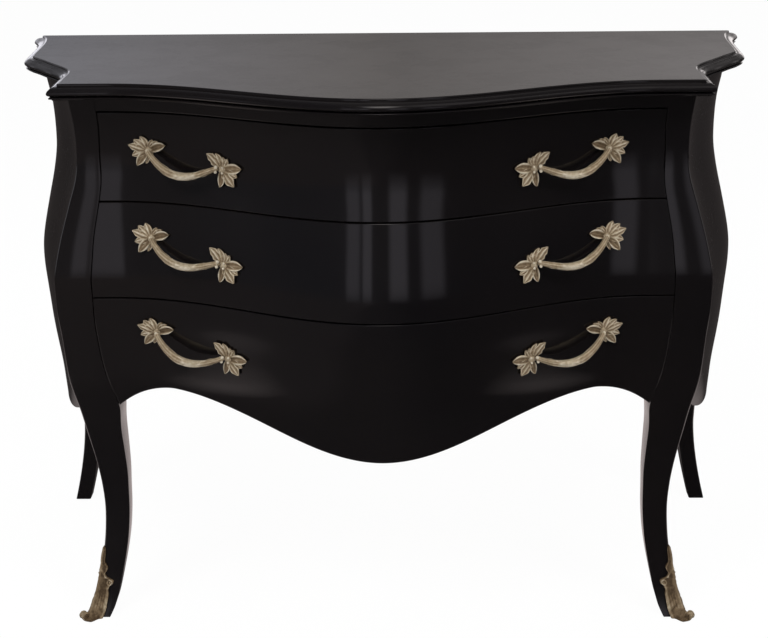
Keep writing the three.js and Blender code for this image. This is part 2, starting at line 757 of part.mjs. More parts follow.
function pull(seat) {
  let solid = toManifold(bend(bow(), seat));
  for (const outward of [-1, 1]) {
    solid = solid.add(toManifold(bend(rosette(outward), seat)));
    solid = solid.add(toManifold(bend(pin(outward, bossRadius, leafGap, bossHeight), seat)));
    const hole = screwBar(seat, outward, rod(screwRadius + screwClearance, -screwBite, screwBite + screwClearance));
    solid = solid.subtract(toManifold(hole));
  }
  return toGeometry(solid);
}

// How far the inside of the drawer front lies behind a rosette's seat, along the screw
function frontThrough(seat, outward) {
  const start = seat(outward * pullHalfSpan, 0, 0);
  const out = seat(outward * pullHalfSpan, 0, 1).sub(start);
  return frontThickness * Math.abs(out.y);
}

function screw(seat, outward) {
  const inside = -frontThrough(seat, outward) - headSlack;
  const back = inside - screwHeadHeight;
  const profile = [
    [0, back], [screwHeadRadius, back], [screwHeadRadius, inside], [screwRadius, inside],
    [screwRadius, screwBite], [0, screwBite],
  ];
  return screwBar(seat, outward, profile);
}

// Brass shoes on the front feet: a leaf folded round the foot's edge, with a scrolled toe
function shoe(sign) {
  const shoeCurve = curveThrough(shoeShares);
  const sheet = (away) => steps(14).map((v) => {
    const z = v * shoeHeight;
    const share = shoeCurve(v);
    const front = shoeTipWidth + (shoeFaceWidth - shoeTipWidth) * share;
    const side = shoeTipWidth + (shoeSideWidth - shoeTipWidth) * share;
    return shoeAcrossShares.map((u) => {
      const x = u < 0 ? arrisX(z) + u * front : arrisX(z) + away;
      const y = u > 0 ? arrisY(z) + u * side : arrisY(z) - away;
      return point(x, y, z);
    });
  });
  const leaf = toManifold(sheetSolid(sheet(pieceGap + shoeThickness), sheet(pieceGap)));
  const toe = new THREE.CylinderGeometry(toeRadius, toeRadius, toeLength, 14);
  toe.rotateZ(-Math.PI / 4);
  const seat = toeRadius / Math.SQRT2 + pieceGap;
  toe.translate(arrisX(0) + seat, arrisY(0) - seat, toeRadius);
  const foot = toManifold(footBlock());
  const solid = toGeometry(leaf.add(toManifold(toe)).subtract(foot));
  if (sign > 0) return solid;
  return flipped(solid);
}

// The space that the foot and its clearance take up, for cutting the shoe
function footBlock() {
  const loops = [-footDepth, ...postLevels.filter((z) => z < 2 * shoeHeight)].map((level) => {
    const z = Math.max(0, level);
    const x = arrisX(z) + pieceGap;
    const y = arrisY(z) - pieceGap;
    const inner = seamX(z) - footDepth;
    const back = postBackY(z) + footDepth;
    return [point(inner, y, level), point(x, y, level), point(x, back, level), point(inner, back, level)];
  });
  return loftSolid(loops);
}

function flipped(geometry) {
  const position = geometry.attributes.position;
  const points = Array.from({ length: position.count }, (_, i) => point(
    -position.getX(i), position.getY(i), position.getZ(i),
  ));
  const index = geometry.index.array;
  const triangles = [];
  for (let i = 0; i < index.length; i += 3) {
    triangles.push([index[i], index[i + 1], index[i + 2]]);
  }
  return fromTriangles(points, triangles);
}

for (const [hand, sign] of hands) {
  add(`${hand}_foot_shoe`, shoe(sign), brass);
}

// Drawers
const drawers = [
  { name: 'upper_drawer', low: middleSeam, high: upperSeam, rail: middleSeam, pullFrom: middleSeam },
  { name: 'middle_drawer', low: lowerSeam, high: middleSeam, rail: lowerSeam, pullFrom: lowerSeam },
  { name: 'lower_drawer', low: null, high: lowerSeam, rail: bottomLevel, pullFrom: lowerSeam },
];
drawers.forEach((drawer, i) => {
  drawer.tilt = pullTilts[i];
  drawer.pullHeight = drawer.pullFrom + pullRises[i];
});

// Lower edge of the bottom drawer's front: two arches and a drop between them
function apron(x) {
  const out = Math.abs(x);
  if (out < archHalfWidth) {
    const t = out / archHalfWidth;
    return mix(dropHeight, archHeight, mix(t * t, smooth(t), archRoundShare));
  }
  const end = seamX(kneeHeight);
  return mix(archHeight, kneeHeight, ((out - archHalfWidth) / (end - archHalfWidth)) ** 2);
}

function drawerFront(drawer) {
  const rows = drawer.low === null ? 8 : 6;
  const columns = drawer.low === null ? 30 : frontColumns;
  const high = drawer.high - seamGap / 2;
  const knee = seamX(kneeHeight) - seamGap / 2;
  const sheet = (depth) => steps(rows).map((v) => steps(columns).map((u) => {
    const share = mix(-1, 1, u);
    const low = drawer.low === null ? apron(share * knee) : drawer.low + seamGap / 2;
    const z = mix(low, high, v);
    const x = share * (seamEdge(z) - seamGap / 2);
    return point(x, frontY(x, z) + depth, z);
  }));
  return sheetSolid(sheet(0), sheet(frontThickness));
}

function boxSide(sign, low, high) {
  const faceFor = (x) => steps(4).map((v) => steps(1).map((u) => {
    const z = mix(low, high, v);
    const front = frontY(boxHalfWidth - boxSideThickness, z) + frontThickness;
    const nearest = Math.max(front, frontY(boxHalfWidth, z) + frontThickness) + curveGap;
    return point(sign * x, mix(nearest, boxBack, u), z);
  }));
  return sheetSolid(faceFor(boxHalfWidth), faceFor(boxHalfWidth - boxSideThickness));
}

function boxBottom(low) {
  const high = low + boxBottomThickness;
  const half = boxHalfWidth - boxSideThickness - pieceGap;
  const front = steps(26).map((t) => {
    const x = mix(-half, half, t);
    const edge = Math.max(frontY(x, low), frontY(x, high)) + frontThickness + curveGap;
    return [x, edge];
  });
  const back = boxBack - boxBackThickness - pieceGap;
  return plate([...front, [half, back], [-half, back]], low, high);
}

for (const drawer of drawers) {
  const low = drawer.rail + railHeight / 2 + pieceGap;
  const high = drawer.high - railHeight / 2 - boxHeadroom;
  const half = boxHalfWidth - boxSideThickness - pieceGap;
  let front = toManifold(drawerFront(drawer));
  for (const [hand, sign] of hands) {
    const seat = pullSeat(drawer, sign);
    add(`${drawer.name}_${hand}_pull`, pull(seat), brass);
    for (const outward of [-1, 1]) {
      const place = outward * sign > 0 ? 'outer' : 'inner';
      const reach = frontThickness + screwBite;
      const hole = screwBar(seat, outward, rod(screwRadius + screwClearance, -reach, screwBite));
      front = front.subtract(toManifold(hole));
      add(`${drawer.name}_${hand}_${place}_screw`, screw(seat, outward), steel);
    }
  }
  add(`${drawer.name}_front`, toGeometry(front), black);
  for (const [hand, sign] of hands) {
    add(`${drawer.name}_${hand}_side`, boxSide(sign, low, high), wood);
  }
  add(`${drawer.name}_back`, block(
    point(-half, boxBack - boxBackThickness, low),
    point(half, boxBack, high - boxBackDrop),
  ), wood);
  add(`${drawer.name}_bottom`, boxBottom(low + boxBottomRise), wood);
}

export default commode;
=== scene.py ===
# A black-lacquered commode chest with cast leaf pulls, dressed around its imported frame.
# Metres. +Z is up, the drawers face -Y, and the origin is on the floor under the middle.
import math

import bmesh
import bpy
import numpy as np
from mathutils import Matrix, Vector


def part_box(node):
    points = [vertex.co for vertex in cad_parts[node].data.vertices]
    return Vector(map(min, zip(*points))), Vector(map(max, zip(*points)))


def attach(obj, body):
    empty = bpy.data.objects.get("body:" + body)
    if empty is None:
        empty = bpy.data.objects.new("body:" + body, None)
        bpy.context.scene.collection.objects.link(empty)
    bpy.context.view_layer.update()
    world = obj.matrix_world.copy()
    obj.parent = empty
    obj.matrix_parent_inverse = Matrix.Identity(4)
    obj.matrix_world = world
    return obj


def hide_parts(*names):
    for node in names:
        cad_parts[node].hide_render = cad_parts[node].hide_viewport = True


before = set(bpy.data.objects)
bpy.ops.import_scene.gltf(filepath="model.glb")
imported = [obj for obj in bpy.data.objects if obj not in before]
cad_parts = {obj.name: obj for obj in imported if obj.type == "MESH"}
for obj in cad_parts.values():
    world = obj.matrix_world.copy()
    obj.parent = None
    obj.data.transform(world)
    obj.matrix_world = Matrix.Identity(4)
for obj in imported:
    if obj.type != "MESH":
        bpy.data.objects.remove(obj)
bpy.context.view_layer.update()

HANDS = [("left", -1), ("right", 1)]

# Planes and levels taken from the frame
TOP_LOW, TOP_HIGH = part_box("top_board")
CHEST_HEIGHT = TOP_HIGH.z
TOP_THICKNESS = TOP_HIGH.z - TOP_LOW.z
BACK_PLANE = TOP_HIGH.y
CASE_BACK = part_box("back_right_post")[1].y
BOX_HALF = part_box("upper_drawer_right_side")[1].x

# Whole chest
ARCH_HEIGHT = 0.412
LOWER_SEAM = ARCH_HEIGHT + 0.148
MIDDLE_SEAM = LOWER_SEAM + 0.141
UPPER_SEAM = MIDDLE_SEAM + 0.132
CASE_TOP = CHEST_HEIGHT - TOP_THICKNESS
CORNER_DEPTH = 0.420            # back edge of the top to its two front corners
CORNER_PLANE = BACK_PLANE - CORNER_DEPTH
BOW_DEPTH = 0.116
WAIST_HALF = 0.450
BOW_HALF_WIDTH = WAIST_HALF - 0.055
ARRIS_SETBACK = 0.030
SIDE_SWELL = 0.041
FRONT_SWELL = 0.045
FLARE_WIDTH = 0.060
FLARE_START = 0.050
FLARE_RUN = 0.200
SIDE_SLOPE_SHARE = 0.1
SEAM_GAP = 0.002
PIECE_GAP = 0.0003
FLUSH_GAP = 0.0001              # where lacquer runs over a joint
EVENING_SPREAD = 0.011          # of the height, to even out the listed curves
EVENING_STEPS = 1200

# Posts, legs and boards
POST_FACE_WIDTH = 0.056
POST_DEPTH = 0.050
ARRIS_RADIUS = 0.003
POST_EDGE_RADIUS = 0.0008
LEG_EDGE_RADIUS = 0.0043
KNEE_HEIGHT = ARCH_HEIGHT - 0.036
DROP_HEIGHT = ARCH_HEIGHT - 0.083
SIDE_APRON_HEIGHT = ARCH_HEIGHT - 0.124
ARCH_HALF_WIDTH = 0.315
ARCH_ROUND_SHARE = 0.8
SIDE_KNEE_HEIGHT = 0.300
ANKLE_HEIGHT = 0.200
ANKLE_DEPTH = 0.032
FOOT_DEPTH = 0.036
ANKLE_INSET = 0.0005
BACK_FLARE_HEIGHT = 0.170
BACK_POST_WIDTH = 0.036
BACK_POST_DEPTH = 0.040
BACK_FOOT_WIDTH = 0.029
BACK_FOOT_DEPTH = 0.028
BACK_FOOT_FLARE = 0.0315
BACK_FOOT_CURVE_SHARE = 1.5
BACK_POST_FRONT = CASE_BACK - BACK_POST_DEPTH
FRONT_THICKNESS = 0.022
SIDE_THICKNESS = 0.018
FRONT_EDGE_RADIUS = 0.0009

# Top
MOLDING_PROJECTION = 0.016
TOP_CORNER_HALF = WAIST_HALF + 0.009
TOP_FLARE = 0.124

# Places of the pulls. Each seat is a body, a height and a tilt in degrees.
PULL_OFFSET = BOX_HALF - 0.114
PULL_SHIFT = 0.005              # each pair sits this far to the left of even places
PULL_SEATS = [
    ("upper_drawer", MIDDLE_SEAM + 0.064, 9), ("middle_drawer", LOWER_SEAM + 0.075, 13.5),
    ("lower_drawer", LOWER_SEAM - 0.0685, 14),
]

# Pulls, in millimetres of each pull's own space: aside from its middle, up, and off the front
MM = 0.001
ROSETTE_ASIDE = 60              # each rosette's middle, from the pull's
ROSETTE_RISE = 2
BOW_HALF_SPAN = 55.5
BOW_SHIFT = 2.5                 # its outer end sits closer to the rosette
BOW_FOOT = 8.5                  # the bow's ends off the front
BOW_FOOT_RISE = ROSETTE_RISE + 0.5
BOW_STANDOFF = 24
BOW_DROP = 21.5
BOW_DROP_POWER = 2.4            # above 1, the bow leaves its ends gently
BOW_STANDOFF_POWER = 1.15
BOW_FRONT = math.radians(250)   # round the bow, where its ornament faces
BOW_CORE = 0.93                 # of its radius, under the ornament
SHEATH_EDGE = 0.018             # of the bow's length
BOSS_RADIUS = 7
BOSS_LOBES = 5
BALL_END = 0.97                 # beads and bosses end in a small flat
PULL_BACK = 0.5                 # the leaves' backs off the front
PALM_RADIUS = 5.0
PALM_REACH = 0.74               # of each leaf's reach
PALM_SPREAD = 0.42              # in radians, to each side of a leaf
PALM_RIBS = 18
PALM_SECTION = [(0.97, PULL_BACK), (1, 1.6), (0.94, 2.9), (0.6, 3.8), (0.2, 4.4)]
LEAF_ROOT = 1.5
LEAF_RIM = 2.1
LEAF_ROOT_HEIGHT, LEAF_TIP_HEIGHT = 3.9, 2.2
LEAF_CURL = 1.3
LEAF_TIER = 1.1                 # each tier lies this much further out
TOOTH_DEPTH = 0.2               # of the leaf's width

# Leaves: direction in degrees from outward, reach, half width, tier, sideways bend, teeth, hollow
OUTER_LEAVES = [
    (98, 18, 4.4, 0.0, 0.1, 0, 0.5), (121, 21, 4.8, 0.2, 0.1, 0, 0.3), (-80, 20, 4.6, 0.0, -0.1, 0, 0.5),
    (-20, 28, 6.6, 0.4, -0.1, 0, 0.1), (49, 24.5, 6.6, 0.5, 0.05, 0, 0.1), (24, 28, 6.6, 0.8, 0.05, 0, 0.2),
    (3, 33, 7.0, 1.1, 0.05, 3, 0.1), (-51, 29.5, 7.0, 1.0, -0.12, 0, 0.8), (147, 28.5, 6.8, 1.3, 0.1, 0, 1),
]
INNER_LEAVES = [
    (68, 18.5, 4.8, 0.0, 0.05, 0, 0.3), (90, 18.5, 5.0, 0.3, 0.05, 0, 0.2),
    (119, 25, 6.4, 0.5, 0.05, 0, 0.1), (-10, 25.5, 5.8, 0.3, -0.05, 0, 0.2),
    (-88, 26, 5.8, 0.6, -0.05, 0, 0.9), (18, 31, 7.8, 0.9, -0.05, 0, 0.8),
    (-46, 29.5, 8.4, 1.1, 0.08, 2, 0.2), (142, 32, 8.0, 1.2, 0.08, 3, 0.1),
]
# Beads: end of the bow (1 outer, -1 inner), degrees, distance, off the front, radius
PULL_BEADS = [
    (1, 150, 2.6, 12.0, 2.7), (1, 250, 6.0, 7.6, 1.8), (-1, 150, 7.2, 12.4, 2.5), (-1, 210, 7.6, 12.0, 2.5),
    (-1, -60, 4.6, 7.8, 1.9), (-1, 70, 4.0, 7.4, 1.6),
]
# Across half a leaf, from its back: of its half width, height and relief where it is hollow, then
# height and relief where it is ridged
LEAF_HALF = [
    (-0.6, -2, 0, -2, 0), (-1, -0.3, 0.2, -0.3, 0.1), (-1, 0.5, 0.8, 0.3, 0.4), (-0.87, 0.96, 1, 0.6, 0.85),
    (-0.74, 0.9, 0.85, 0.5, 0.55), (-0.5, 0.25, 0.2, 0.3, 0.22), (-0.2, 0.05, 0.1, 0.75, 0.6),
    (-0.07, 0.15, 0.25, 1, 0.95),
]
LEAF_SECTION = LEAF_HALF[1:] + [(-across, *rest) for across, *rest in reversed(LEAF_HALF)] + LEAF_HALF[:1]
# Along a leaf, then of its half width. Along the bow, then its radius.
LEAF_WIDTHS = [
    (0, 0.45), (0.15, 0.68), (0.4, 0.97), (0.55, 1), (0.72, 0.86), (0.88, 0.52), (0.96, 0.27), (1, 0.06),
]
BOW_RADII = [
    (0, 3.1), (0.1, 3.5), (0.2, 4.2), (0.32, 5.2), (0.44, 6.2), (0.52, 6.4), (0.6, 6.0), (0.7, 5.0),
    (0.8, 4.0), (0.9, 3.4), (1, 3.2),
]

# Shoes, in millimetres
SHOE_HEIGHT = 116
SHOE_GAP = 0.3
SHOE_BODY = 2.4
SHOE_FACE_WIDTH = 24
SHOE_SIDE_WIDTH = 26
SHOE_TIP_WIDTH = 3
SHOE_RELIEF_RANGE = 4.2         # relief that would show fully bright
TOE_RADIUS = 7
TOE_HALF_LENGTH = 6
# Of the shoe's height, then of its width
SHOE_SHARES = [
    (0, 1), (0.05, 1), (0.14, 0.96), (0.22, 0.88), (0.3, 0.83), (0.38, 0.71), (0.43, 0.78), (0.465, 0.97),
    (0.49, 0.97), (0.52, 0.7), (0.55, 0.37), (0.605, 0.2), (0.645, 0.3), (0.685, 0.34), (0.735, 0.16),
    (0.78, 0.05), (0.86, 0.04), (0.94, 0.02), (1, -0.09),
]

# Shares: of the height, then of the swell
SWELL_SHARES = [
    (0, 0.97), (0.02, 0.78), (0.04, 0.65), (0.068, 0.49), (0.114, 0.32), (0.165, 0.18), (0.216, 0.12),
    (0.261, 0.16), (0.3, 0.24), (0.335, 0.34), (0.369, 0.45), (0.42, 0.61), (0.46, 0.78), (0.483, 0.85),
    (0.528, 0.9), (0.5625, 0.93), (0.614, 1), (0.665, 1), (0.693, 0.9), (0.733, 0.71), (0.795, 0.34),
    (0.841, 0.07), (0.886, 0), (0.92, 0.02), (0.966, 0.12), (1, 0.16),
]
SIDE_SWELL_SHARES = [
    (0.3, 0.52), (0.334, 0.575), (0.367, 0.61), (0.401, 0.645), (0.434, 0.715), (0.48, 0.82), (0.51, 0.87),
    (0.54, 0.905), (0.575, 0.95), (0.61, 0.99), (0.64, 0.975), (0.665, 0.895), (0.693, 0.76), (0.72, 0.61),
    (0.751, 0.435), (0.781, 0.26), (0.811, 0.12), (0.841, 0.02), (0.886, 0), (0.92, 0.03), (0.945, 0.12),
    (0.966, 0.2), (1, 0.25),
]
# Of the height, then of the post's face at the belly
POST_WIDTH_SHARES = [
    (0, 0.635), (0.02, 0.665), (0.045, 0.645), (0.068, 0.636), (0.114, 0.67), (0.148, 0.69), (0.216, 0.715),
    (0.25, 0.755), (0.284, 0.82), (0.3125, 0.865), (0.347, 0.93), (0.381, 1), (0.409, 1.1), (0.426, 1.16),
    (0.477, 1.08), (0.523, 1), (0.568, 0.965), (0.636, 1), (0.682, 0.98), (0.744, 0.866), (0.795, 0.786),
    (0.875, 0.61), (0.943, 0.68), (1, 0.7),
]
# Edge of the top's upper face: of its depth, then outward of the front corner
TOP_SIDE_SHARES = [
    (0, 0), (0.12, 0.016), (0.18, 0.021), (0.225, 0.042), (0.27, 0.106), (0.321, 0.218), (0.374, 0.355),
    (0.45, 0.541), (0.51, 0.694), (0.552, 0.755), (0.62, 0.775), (0.714, 0.798), (0.821, 0.831),
    (0.917, 0.889), (1, 1),
]


def mix(a, b, t):
    return a + (b - a) * t


def smooth(t):
    t = np.clip(t, 0, 1)
    return t * t * (3 - 2 * t)


def curve_through(table):
    """A curve through a table of points, without overshoot."""
    xs = np.array([x for x, _ in table], float)
    ys = np.array([y for _, y in table], float)
    slopes = np.diff(ys) / np.diff(xs)
    tangents = np.concatenate([slopes[:1], np.zeros(len(xs) - 2), slopes[-1:]])
    for i in range(1, len(xs) - 1):
        before, after = slopes[i - 1], slopes[i]
        if before * after > 0:
            tangents[i] = 2 * before * after / (before + after)

    def at(x):
        i = np.clip(np.searchsorted(xs, x, side="right") - 1, 0, len(xs) - 2)
        run = xs[i + 1] - xs[i]
        t = np.clip((x - xs[i]) / run, 0, 1)
        bend = tangents[i] * t * (1 - t) ** 2 - tangents[i + 1] * t * t * (1 - t)
        return ys[i] + (ys[i + 1] - ys[i]) * smooth(t) + run * bend

    return at


def evened(table):
    """The same curve with its small kinks evened out, so that gloss runs over it cleanly."""
    fine = np.linspace(table[0][0], table[-1][0], EVENING_STEPS + 1)
    values = curve_through(table)(fine)
    step = fine[1] - fine[0]
    reach = int(3 * EVENING_SPREAD / step)
    offsets = np.arange(-reach, reach + 1) * step
    weights = np.exp(-0.5 * (offsets / EVENING_SPREAD) ** 2)
    padded = np.concatenate([
        2 * values[0] - values[reach:0:-1], values, 2 * values[-1] - values[-2:-reach - 2:-1],
    ])
    evened_values = np.convolve(padded, weights / weights.sum(), mode="valid")
    return lambda x: np.interp(x, fine, evened_values)


swell_curve = evened(SWELL_SHARES)
side_swell_curve = evened(SIDE_SWELL_SHARES)
post_width_curve = evened(POST_WIDTH_SHARES)
top_side_curve = curve_through(TOP_SIDE_SHARES)


def swell(z):
    return swell_curve(z / CHEST_HEIGHT)


def serpentine(x):
    """The front's wave, 1 in the middle and 0 at the posts."""
    wave = np.cos(math.pi * np.minimum(np.abs(x), BOW_HALF_WIDTH) / (2 * BOW_HALF_WIDTH))
    return wave * wave


def arris_x(z):
    return WAIST_HALF + SIDE_SWELL * swell(z)


def arris_y(z):
    return CORNER_PLANE + ARRIS_SETBACK - FRONT_SWELL * swell(z)


def front_y(x, z):
    return arris_y(z) - BOW_DEPTH * serpentine(x)


def seam_x(z):
    return arris_x(z) - POST_FACE_WIDTH * post_width_curve(z / CHEST_HEIGHT)


def flare_share(y):
    return smooth((y - CORNER_PLANE - FLARE_START) / FLARE_RUN)


def flare(y):
    slope = SIDE_SLOPE_SHARE * np.maximum(0, y - CORNER_PLANE - ARRIS_SETBACK)
    return FLARE_WIDTH * flare_share(y) + slope


def side_x(y, z):
    """The side's surface: the post's swell in front, its own behind the flare."""
    side_share = side_swell_curve(np.maximum(z, SIDE_KNEE_HEIGHT) / CHEST_HEIGHT)
    return WAIST_HALF + SIDE_SWELL * mix(swell(z), side_share, flare_share(y)) + flare(y)


def hump(value, centre, width):
    """A bell round a centre, 1 high."""
    return np.exp(-((value - centre) / width) ** 2)


def full_turn(count):
    return np.linspace(0, 2 * math.pi, count + 1)[:-1]


def unit(vectors):
    return vectors / np.linalg.norm(vectors, axis=-1, keepdims=True)


# Meshes

def grid_faces(rows, columns, start=0):
    a = start + np.arange(rows * columns).reshape(rows, columns)[:-1, :-1].ravel()
    return np.stack([a, a + 1, a + columns + 1, a + columns], axis=-1).tolist()


def rim_of(rows, columns):
    """The points round the edge of a grid, in order."""
    index = np.arange(rows * columns).reshape(rows, columns)
    return np.concatenate([index[0, :-1], index[:-1, -1], index[-1, :0:-1], index[:0:-1, 0]]).tolist()


def stacked(x, y, z):
    """Points out of three coordinates, each a number or a grid."""
    return np.stack(np.broadcast_arrays(x, y, z), axis=-1).astype(float)


def sheet_solid(outer, inner):
    """Points and faces of the solid between two grids, with how many faces the first grid has."""
    rows, columns = outer.shape[:2]
    count = rows * columns
    first = grid_faces(rows, columns)
    second = grid_faces(rows, columns, count)
    ring = rim_of(rows, columns)
    edge = [[a, b, b + count, a + count] for a, b in zip(ring, ring[1:] + ring[:1])]
    points = np.concatenate([outer.reshape(-1, 3), inner.reshape(-1, 3)])
    return points, first + edge + second, len(first) + len(edge)


def loft_solid(loops):
    """Points and faces of the solid through closed loops, with flat ends."""
    levels, count = loops.shape[:2]
    index = np.arange(levels * count).reshape(levels, count)
    a, b = index[:-1].ravel(), np.roll(index, -1, axis=1)[:-1].ravel()
    faces = np.stack([a, b, b + count, a + count], axis=-1).tolist()
    return loops.reshape(-1, 3), faces + [index[0].tolist(), index[-1].tolist()]


def make_piece(name, points, faces, materials, sharp_degrees=35, relief=None, second_from=None):
    """A mesh object with outward faces. Faces from second_from on take the second material."""
    mesh = bpy.data.meshes.new(name)
    mesh.from_pydata(np.asarray(points).tolist(), [], faces)
    for material in materials:
        mesh.materials.append(material)
    if second_from is not None:
        index = np.zeros(len(faces), np.int32)
        index[second_from:] = 1
        mesh.polygons.foreach_set("material_index", index)
    if relief is not None:
        layer = mesh.attributes.new("relief", "FLOAT", "POINT")
        layer.data.foreach_set("value", np.asarray(relief, np.float32))
    work = bmesh.new()
    work.from_mesh(mesh)
    bmesh.ops.recalc_face_normals(work, faces=work.faces)
    work.to_mesh(mesh)
    work.free()
    mesh.polygons.foreach_set("use_smooth", np.ones(len(mesh.polygons), bool))
    mesh.set_sharp_from_angle(angle=math.radians(sharp_degrees))
    sharpen_caps(mesh)
    piece = bpy.data.objects.new(name, mesh)
    bpy.context.scene.collection.objects.link(piece)
    return piece


def sharpen_caps(mesh):
    """Keeps a flat end's shading apart from the faces round it."""
    layer = mesh.attributes.get("sharp_edge") or mesh.attributes.new("sharp_edge", "BOOLEAN", "EDGE")
    for polygon in mesh.polygons:
        if polygon.loop_total > 4:
            for loop in polygon.loop_indices:
                layer.data[mesh.loops[loop].edge_index].value = True


def soften(piece, width):
    """Rounds a piece's sharp edges."""
    bevel = piece.modifiers.new("edges", "BEVEL")
    bevel.width = width
    bevel.segments = 3
    bevel.limit_method = "ANGLE"
    bevel.angle_limit = math.radians(50)
    bevel.harden_normals = False
    normals = piece.modifiers.new("shading", "WEIGHTED_NORMAL")
    normals.keep_sharp = True


def settle(piece, body, slot, *nodes):
    """Fixes a finished piece to its body and hides the CAD nodes that it stands for. The slot, its finish, is
    not used.
    """
    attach(piece, body)
    if nodes:
        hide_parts(*nodes)


def rounded(corners, radii):
    """A closed loop in plan with each corner rounded by its own radius."""
    loop = []
    arc_steps = 4
    for i, corner in enumerate(corners):
        corner = np.array(corner)
        to_before = np.array(corners[i - 1]) - corner
        to_after = np.array(corners[(i + 1) % len(corners)]) - corner
        start = corner + to_before / np.linalg.norm(to_before) * radii[i]
        end = corner + to_after / np.linalg.norm(to_after) * radii[i]
        for t in np.linspace(0, 1, arc_steps + 1):
            loop.append((1 - t) ** 2 * start + 2 * t * (1 - t) * corner + t * t * end)
    return np.array(loop)


def at_level(plan, z):
    return np.column_stack([plan, np.full(len(plan), z)])


# Materials

def cleared_tree(owner):
    owner.use_nodes = True
    owner.node_tree.nodes.clear()
    return owner.node_tree


def feed(tree, item, inputs):
    """Sets a node's inputs. Each is a value, or a socket to link."""
    for key, value in inputs.items():
        if isinstance(value, bpy.types.NodeSocket):
            tree.links.new(value, item.inputs[key])
        else:
            item.inputs[key].default_value = value


def put(tree, kind, inputs=None, **settings):
    """Adds a shader node."""
    item = tree.nodes.new("ShaderNode" + kind)
    for key, value in settings.items():
        setattr(item, key, value)
    feed(tree, item, inputs or {})
    return item


def new_material(name):
    material = bpy.data.materials.new(name)
    tree = cleared_tree(material)
    shader = put(tree, "BsdfPrincipled")
    put(tree, "OutputMaterial", {"Surface": shader.outputs[0]})
    return material, tree, shader


def place_of(tree, scale=(1, 1, 1)):
    """The place on the piece itself, so that a pattern moves with it."""
    where = put(tree, "TexCoord").outputs["Object"]
    return put(tree, "Mapping", {"Vector": where, "Scale": scale}).outputs[0]


def noise(tree, vector, scale, detail=4, roughness=0.55, distortion=0.0):
    return put(tree, "TexNoise", {
        "Vector": vector, "Scale": scale, "Detail": detail, "Roughness": roughness, "Distortion": distortion,
    }).outputs["Fac"]


def ramp(tree, factor, stops):
    """A colour ramp of (place, colour) stops."""
    item = put(tree, "ValToRGB", {"Fac": factor})
    elements = item.color_ramp.elements
    for _ in range(len(stops) - len(elements)):
        elements.new(0.5)
    for element, (place, colour) in zip(elements, stops):
        element.position = place
        element.color = (*colour, 1)
    return item.outputs["Color"]


def span(tree, value, low, high, new_low, new_high):
    """A value carried from one range to another, and held at its ends."""
    return put(tree, "MapRange", {
        "Value": value, "From Min": low, "From Max": high, "To Min": new_low, "To Max": new_high,
    }).outputs[0]


def combined(tree, operation, values):
    """Values taken together one after the other, such as their sum or product."""
    level = values[0]
    for value in values[1:]:
        level = put(tree, "Math", {0: level, 1: value}, operation=operation).outputs[0]
    return level


def faded(tree, axes, *fades):
    """The product of fades, each an axis, a range on it and the strength at the range's ends."""
    return combined(tree, "MULTIPLY", [span(tree, axes[axis], *limits) for axis, *limits in fades])


def magnitude(tree, value):
    return put(tree, "Math", {0: value}, operation="ABSOLUTE").outputs[0]


def bumped(tree, height, strength, distance):
    return put(tree, "Bump", {"Height": height, "Strength": strength, "Distance": distance}).outputs[0]


def lacquer_material():
    """Piano-gloss black: a deep base under a clear coat, faintly wavy, with a few dull smudges."""
    material, tree, shader = new_material("black_lacquer")
    where = place_of(tree)
    cloud = noise(tree, where, 2.2, 3)
    smudge = noise(tree, where, 14, 6, 0.65)
    wave = bumped(tree, noise(tree, where, 7, 1, 0.3), 0.03, 0.004)
    feed(tree, shader, {
        "Base Color": ramp(tree, cloud, [(0.3, (0.0026, 0.0022, 0.0027)), (0.75, (0.0045, 0.0034, 0.0033))]),
        "Roughness": span(tree, smudge, 0.35, 0.75, 0.22, 0.34),
        "Specular IOR Level": 0.08, "Coat Weight": 1.0, "Coat Roughness": 0.07, "Coat IOR": 1.5,
        "Normal": wave, "Coat Normal": wave,
    })
    return material


def brass_material():
    """Cast brass under a dull film: champagne on the ridges, brown in the hollows, slightly pitted. On the
    pulls, the relief that sets its colour also holds painted shade at the roots of the leaves.
    """
    material, tree, shader = new_material("antique_brass")
    where = place_of(tree)
    # The relief attribute is the patina's level. On the pulls' leaves it also holds painted shade towards
    # their roots.
    relief = put(tree, "Attribute", attribute_name="relief").outputs["Fac"]
    grime = noise(tree, where, 220, 5, 0.65)
    level = combined(tree, "ADD", [relief, span(tree, grime, 0.3, 0.7, -0.15, 0.15)])
    feed(tree, shader, {
        "Base Color": ramp(tree, level, [
            (0.0, (0.08, 0.05, 0.025)), (0.3, (0.225, 0.158, 0.09)), (0.6, (0.415, 0.335, 0.225)),
            (1.0, (0.72, 0.65, 0.52)),
        ]),
        "Metallic": 0.5,
        "Roughness": span(tree, level, 0.1, 0.9, 0.6, 0.44),
        "Normal": bumped(tree, noise(tree, where, 900, 4, 0.6), 0.35, 0.0004),
    })
    return material


def wood_material(name, grain_axis):
    """Pale, dry secondary wood, with its grain along one axis."""
    material, tree, shader = new_material(name)
    along = [9.0, 9.0, 9.0]
    along[grain_axis] = 0.55
    bands = noise(tree, place_of(tree, along), 1.6, 5, 0.6, 0.6)
    fibres = noise(tree, place_of(tree, [14 * a for a in along]), 2.0, 4, 0.7)
    shade = combined(tree, "ADD", [bands, span(tree, fibres, 0.3, 0.7, -0.12, 0.12)])
    feed(tree, shader, {
        "Base Color": ramp(tree, shade, [
            (0.28, (0.20, 0.115, 0.052)), (0.5, (0.36, 0.225, 0.115)), (0.72, (0.47, 0.315, 0.175)),
        ]),
        "Roughness": span(tree, fibres, 0.3, 0.7, 0.62, 0.8),
        "Normal": bumped(tree, fibres, 0.25, 0.0006),
    })
    return material


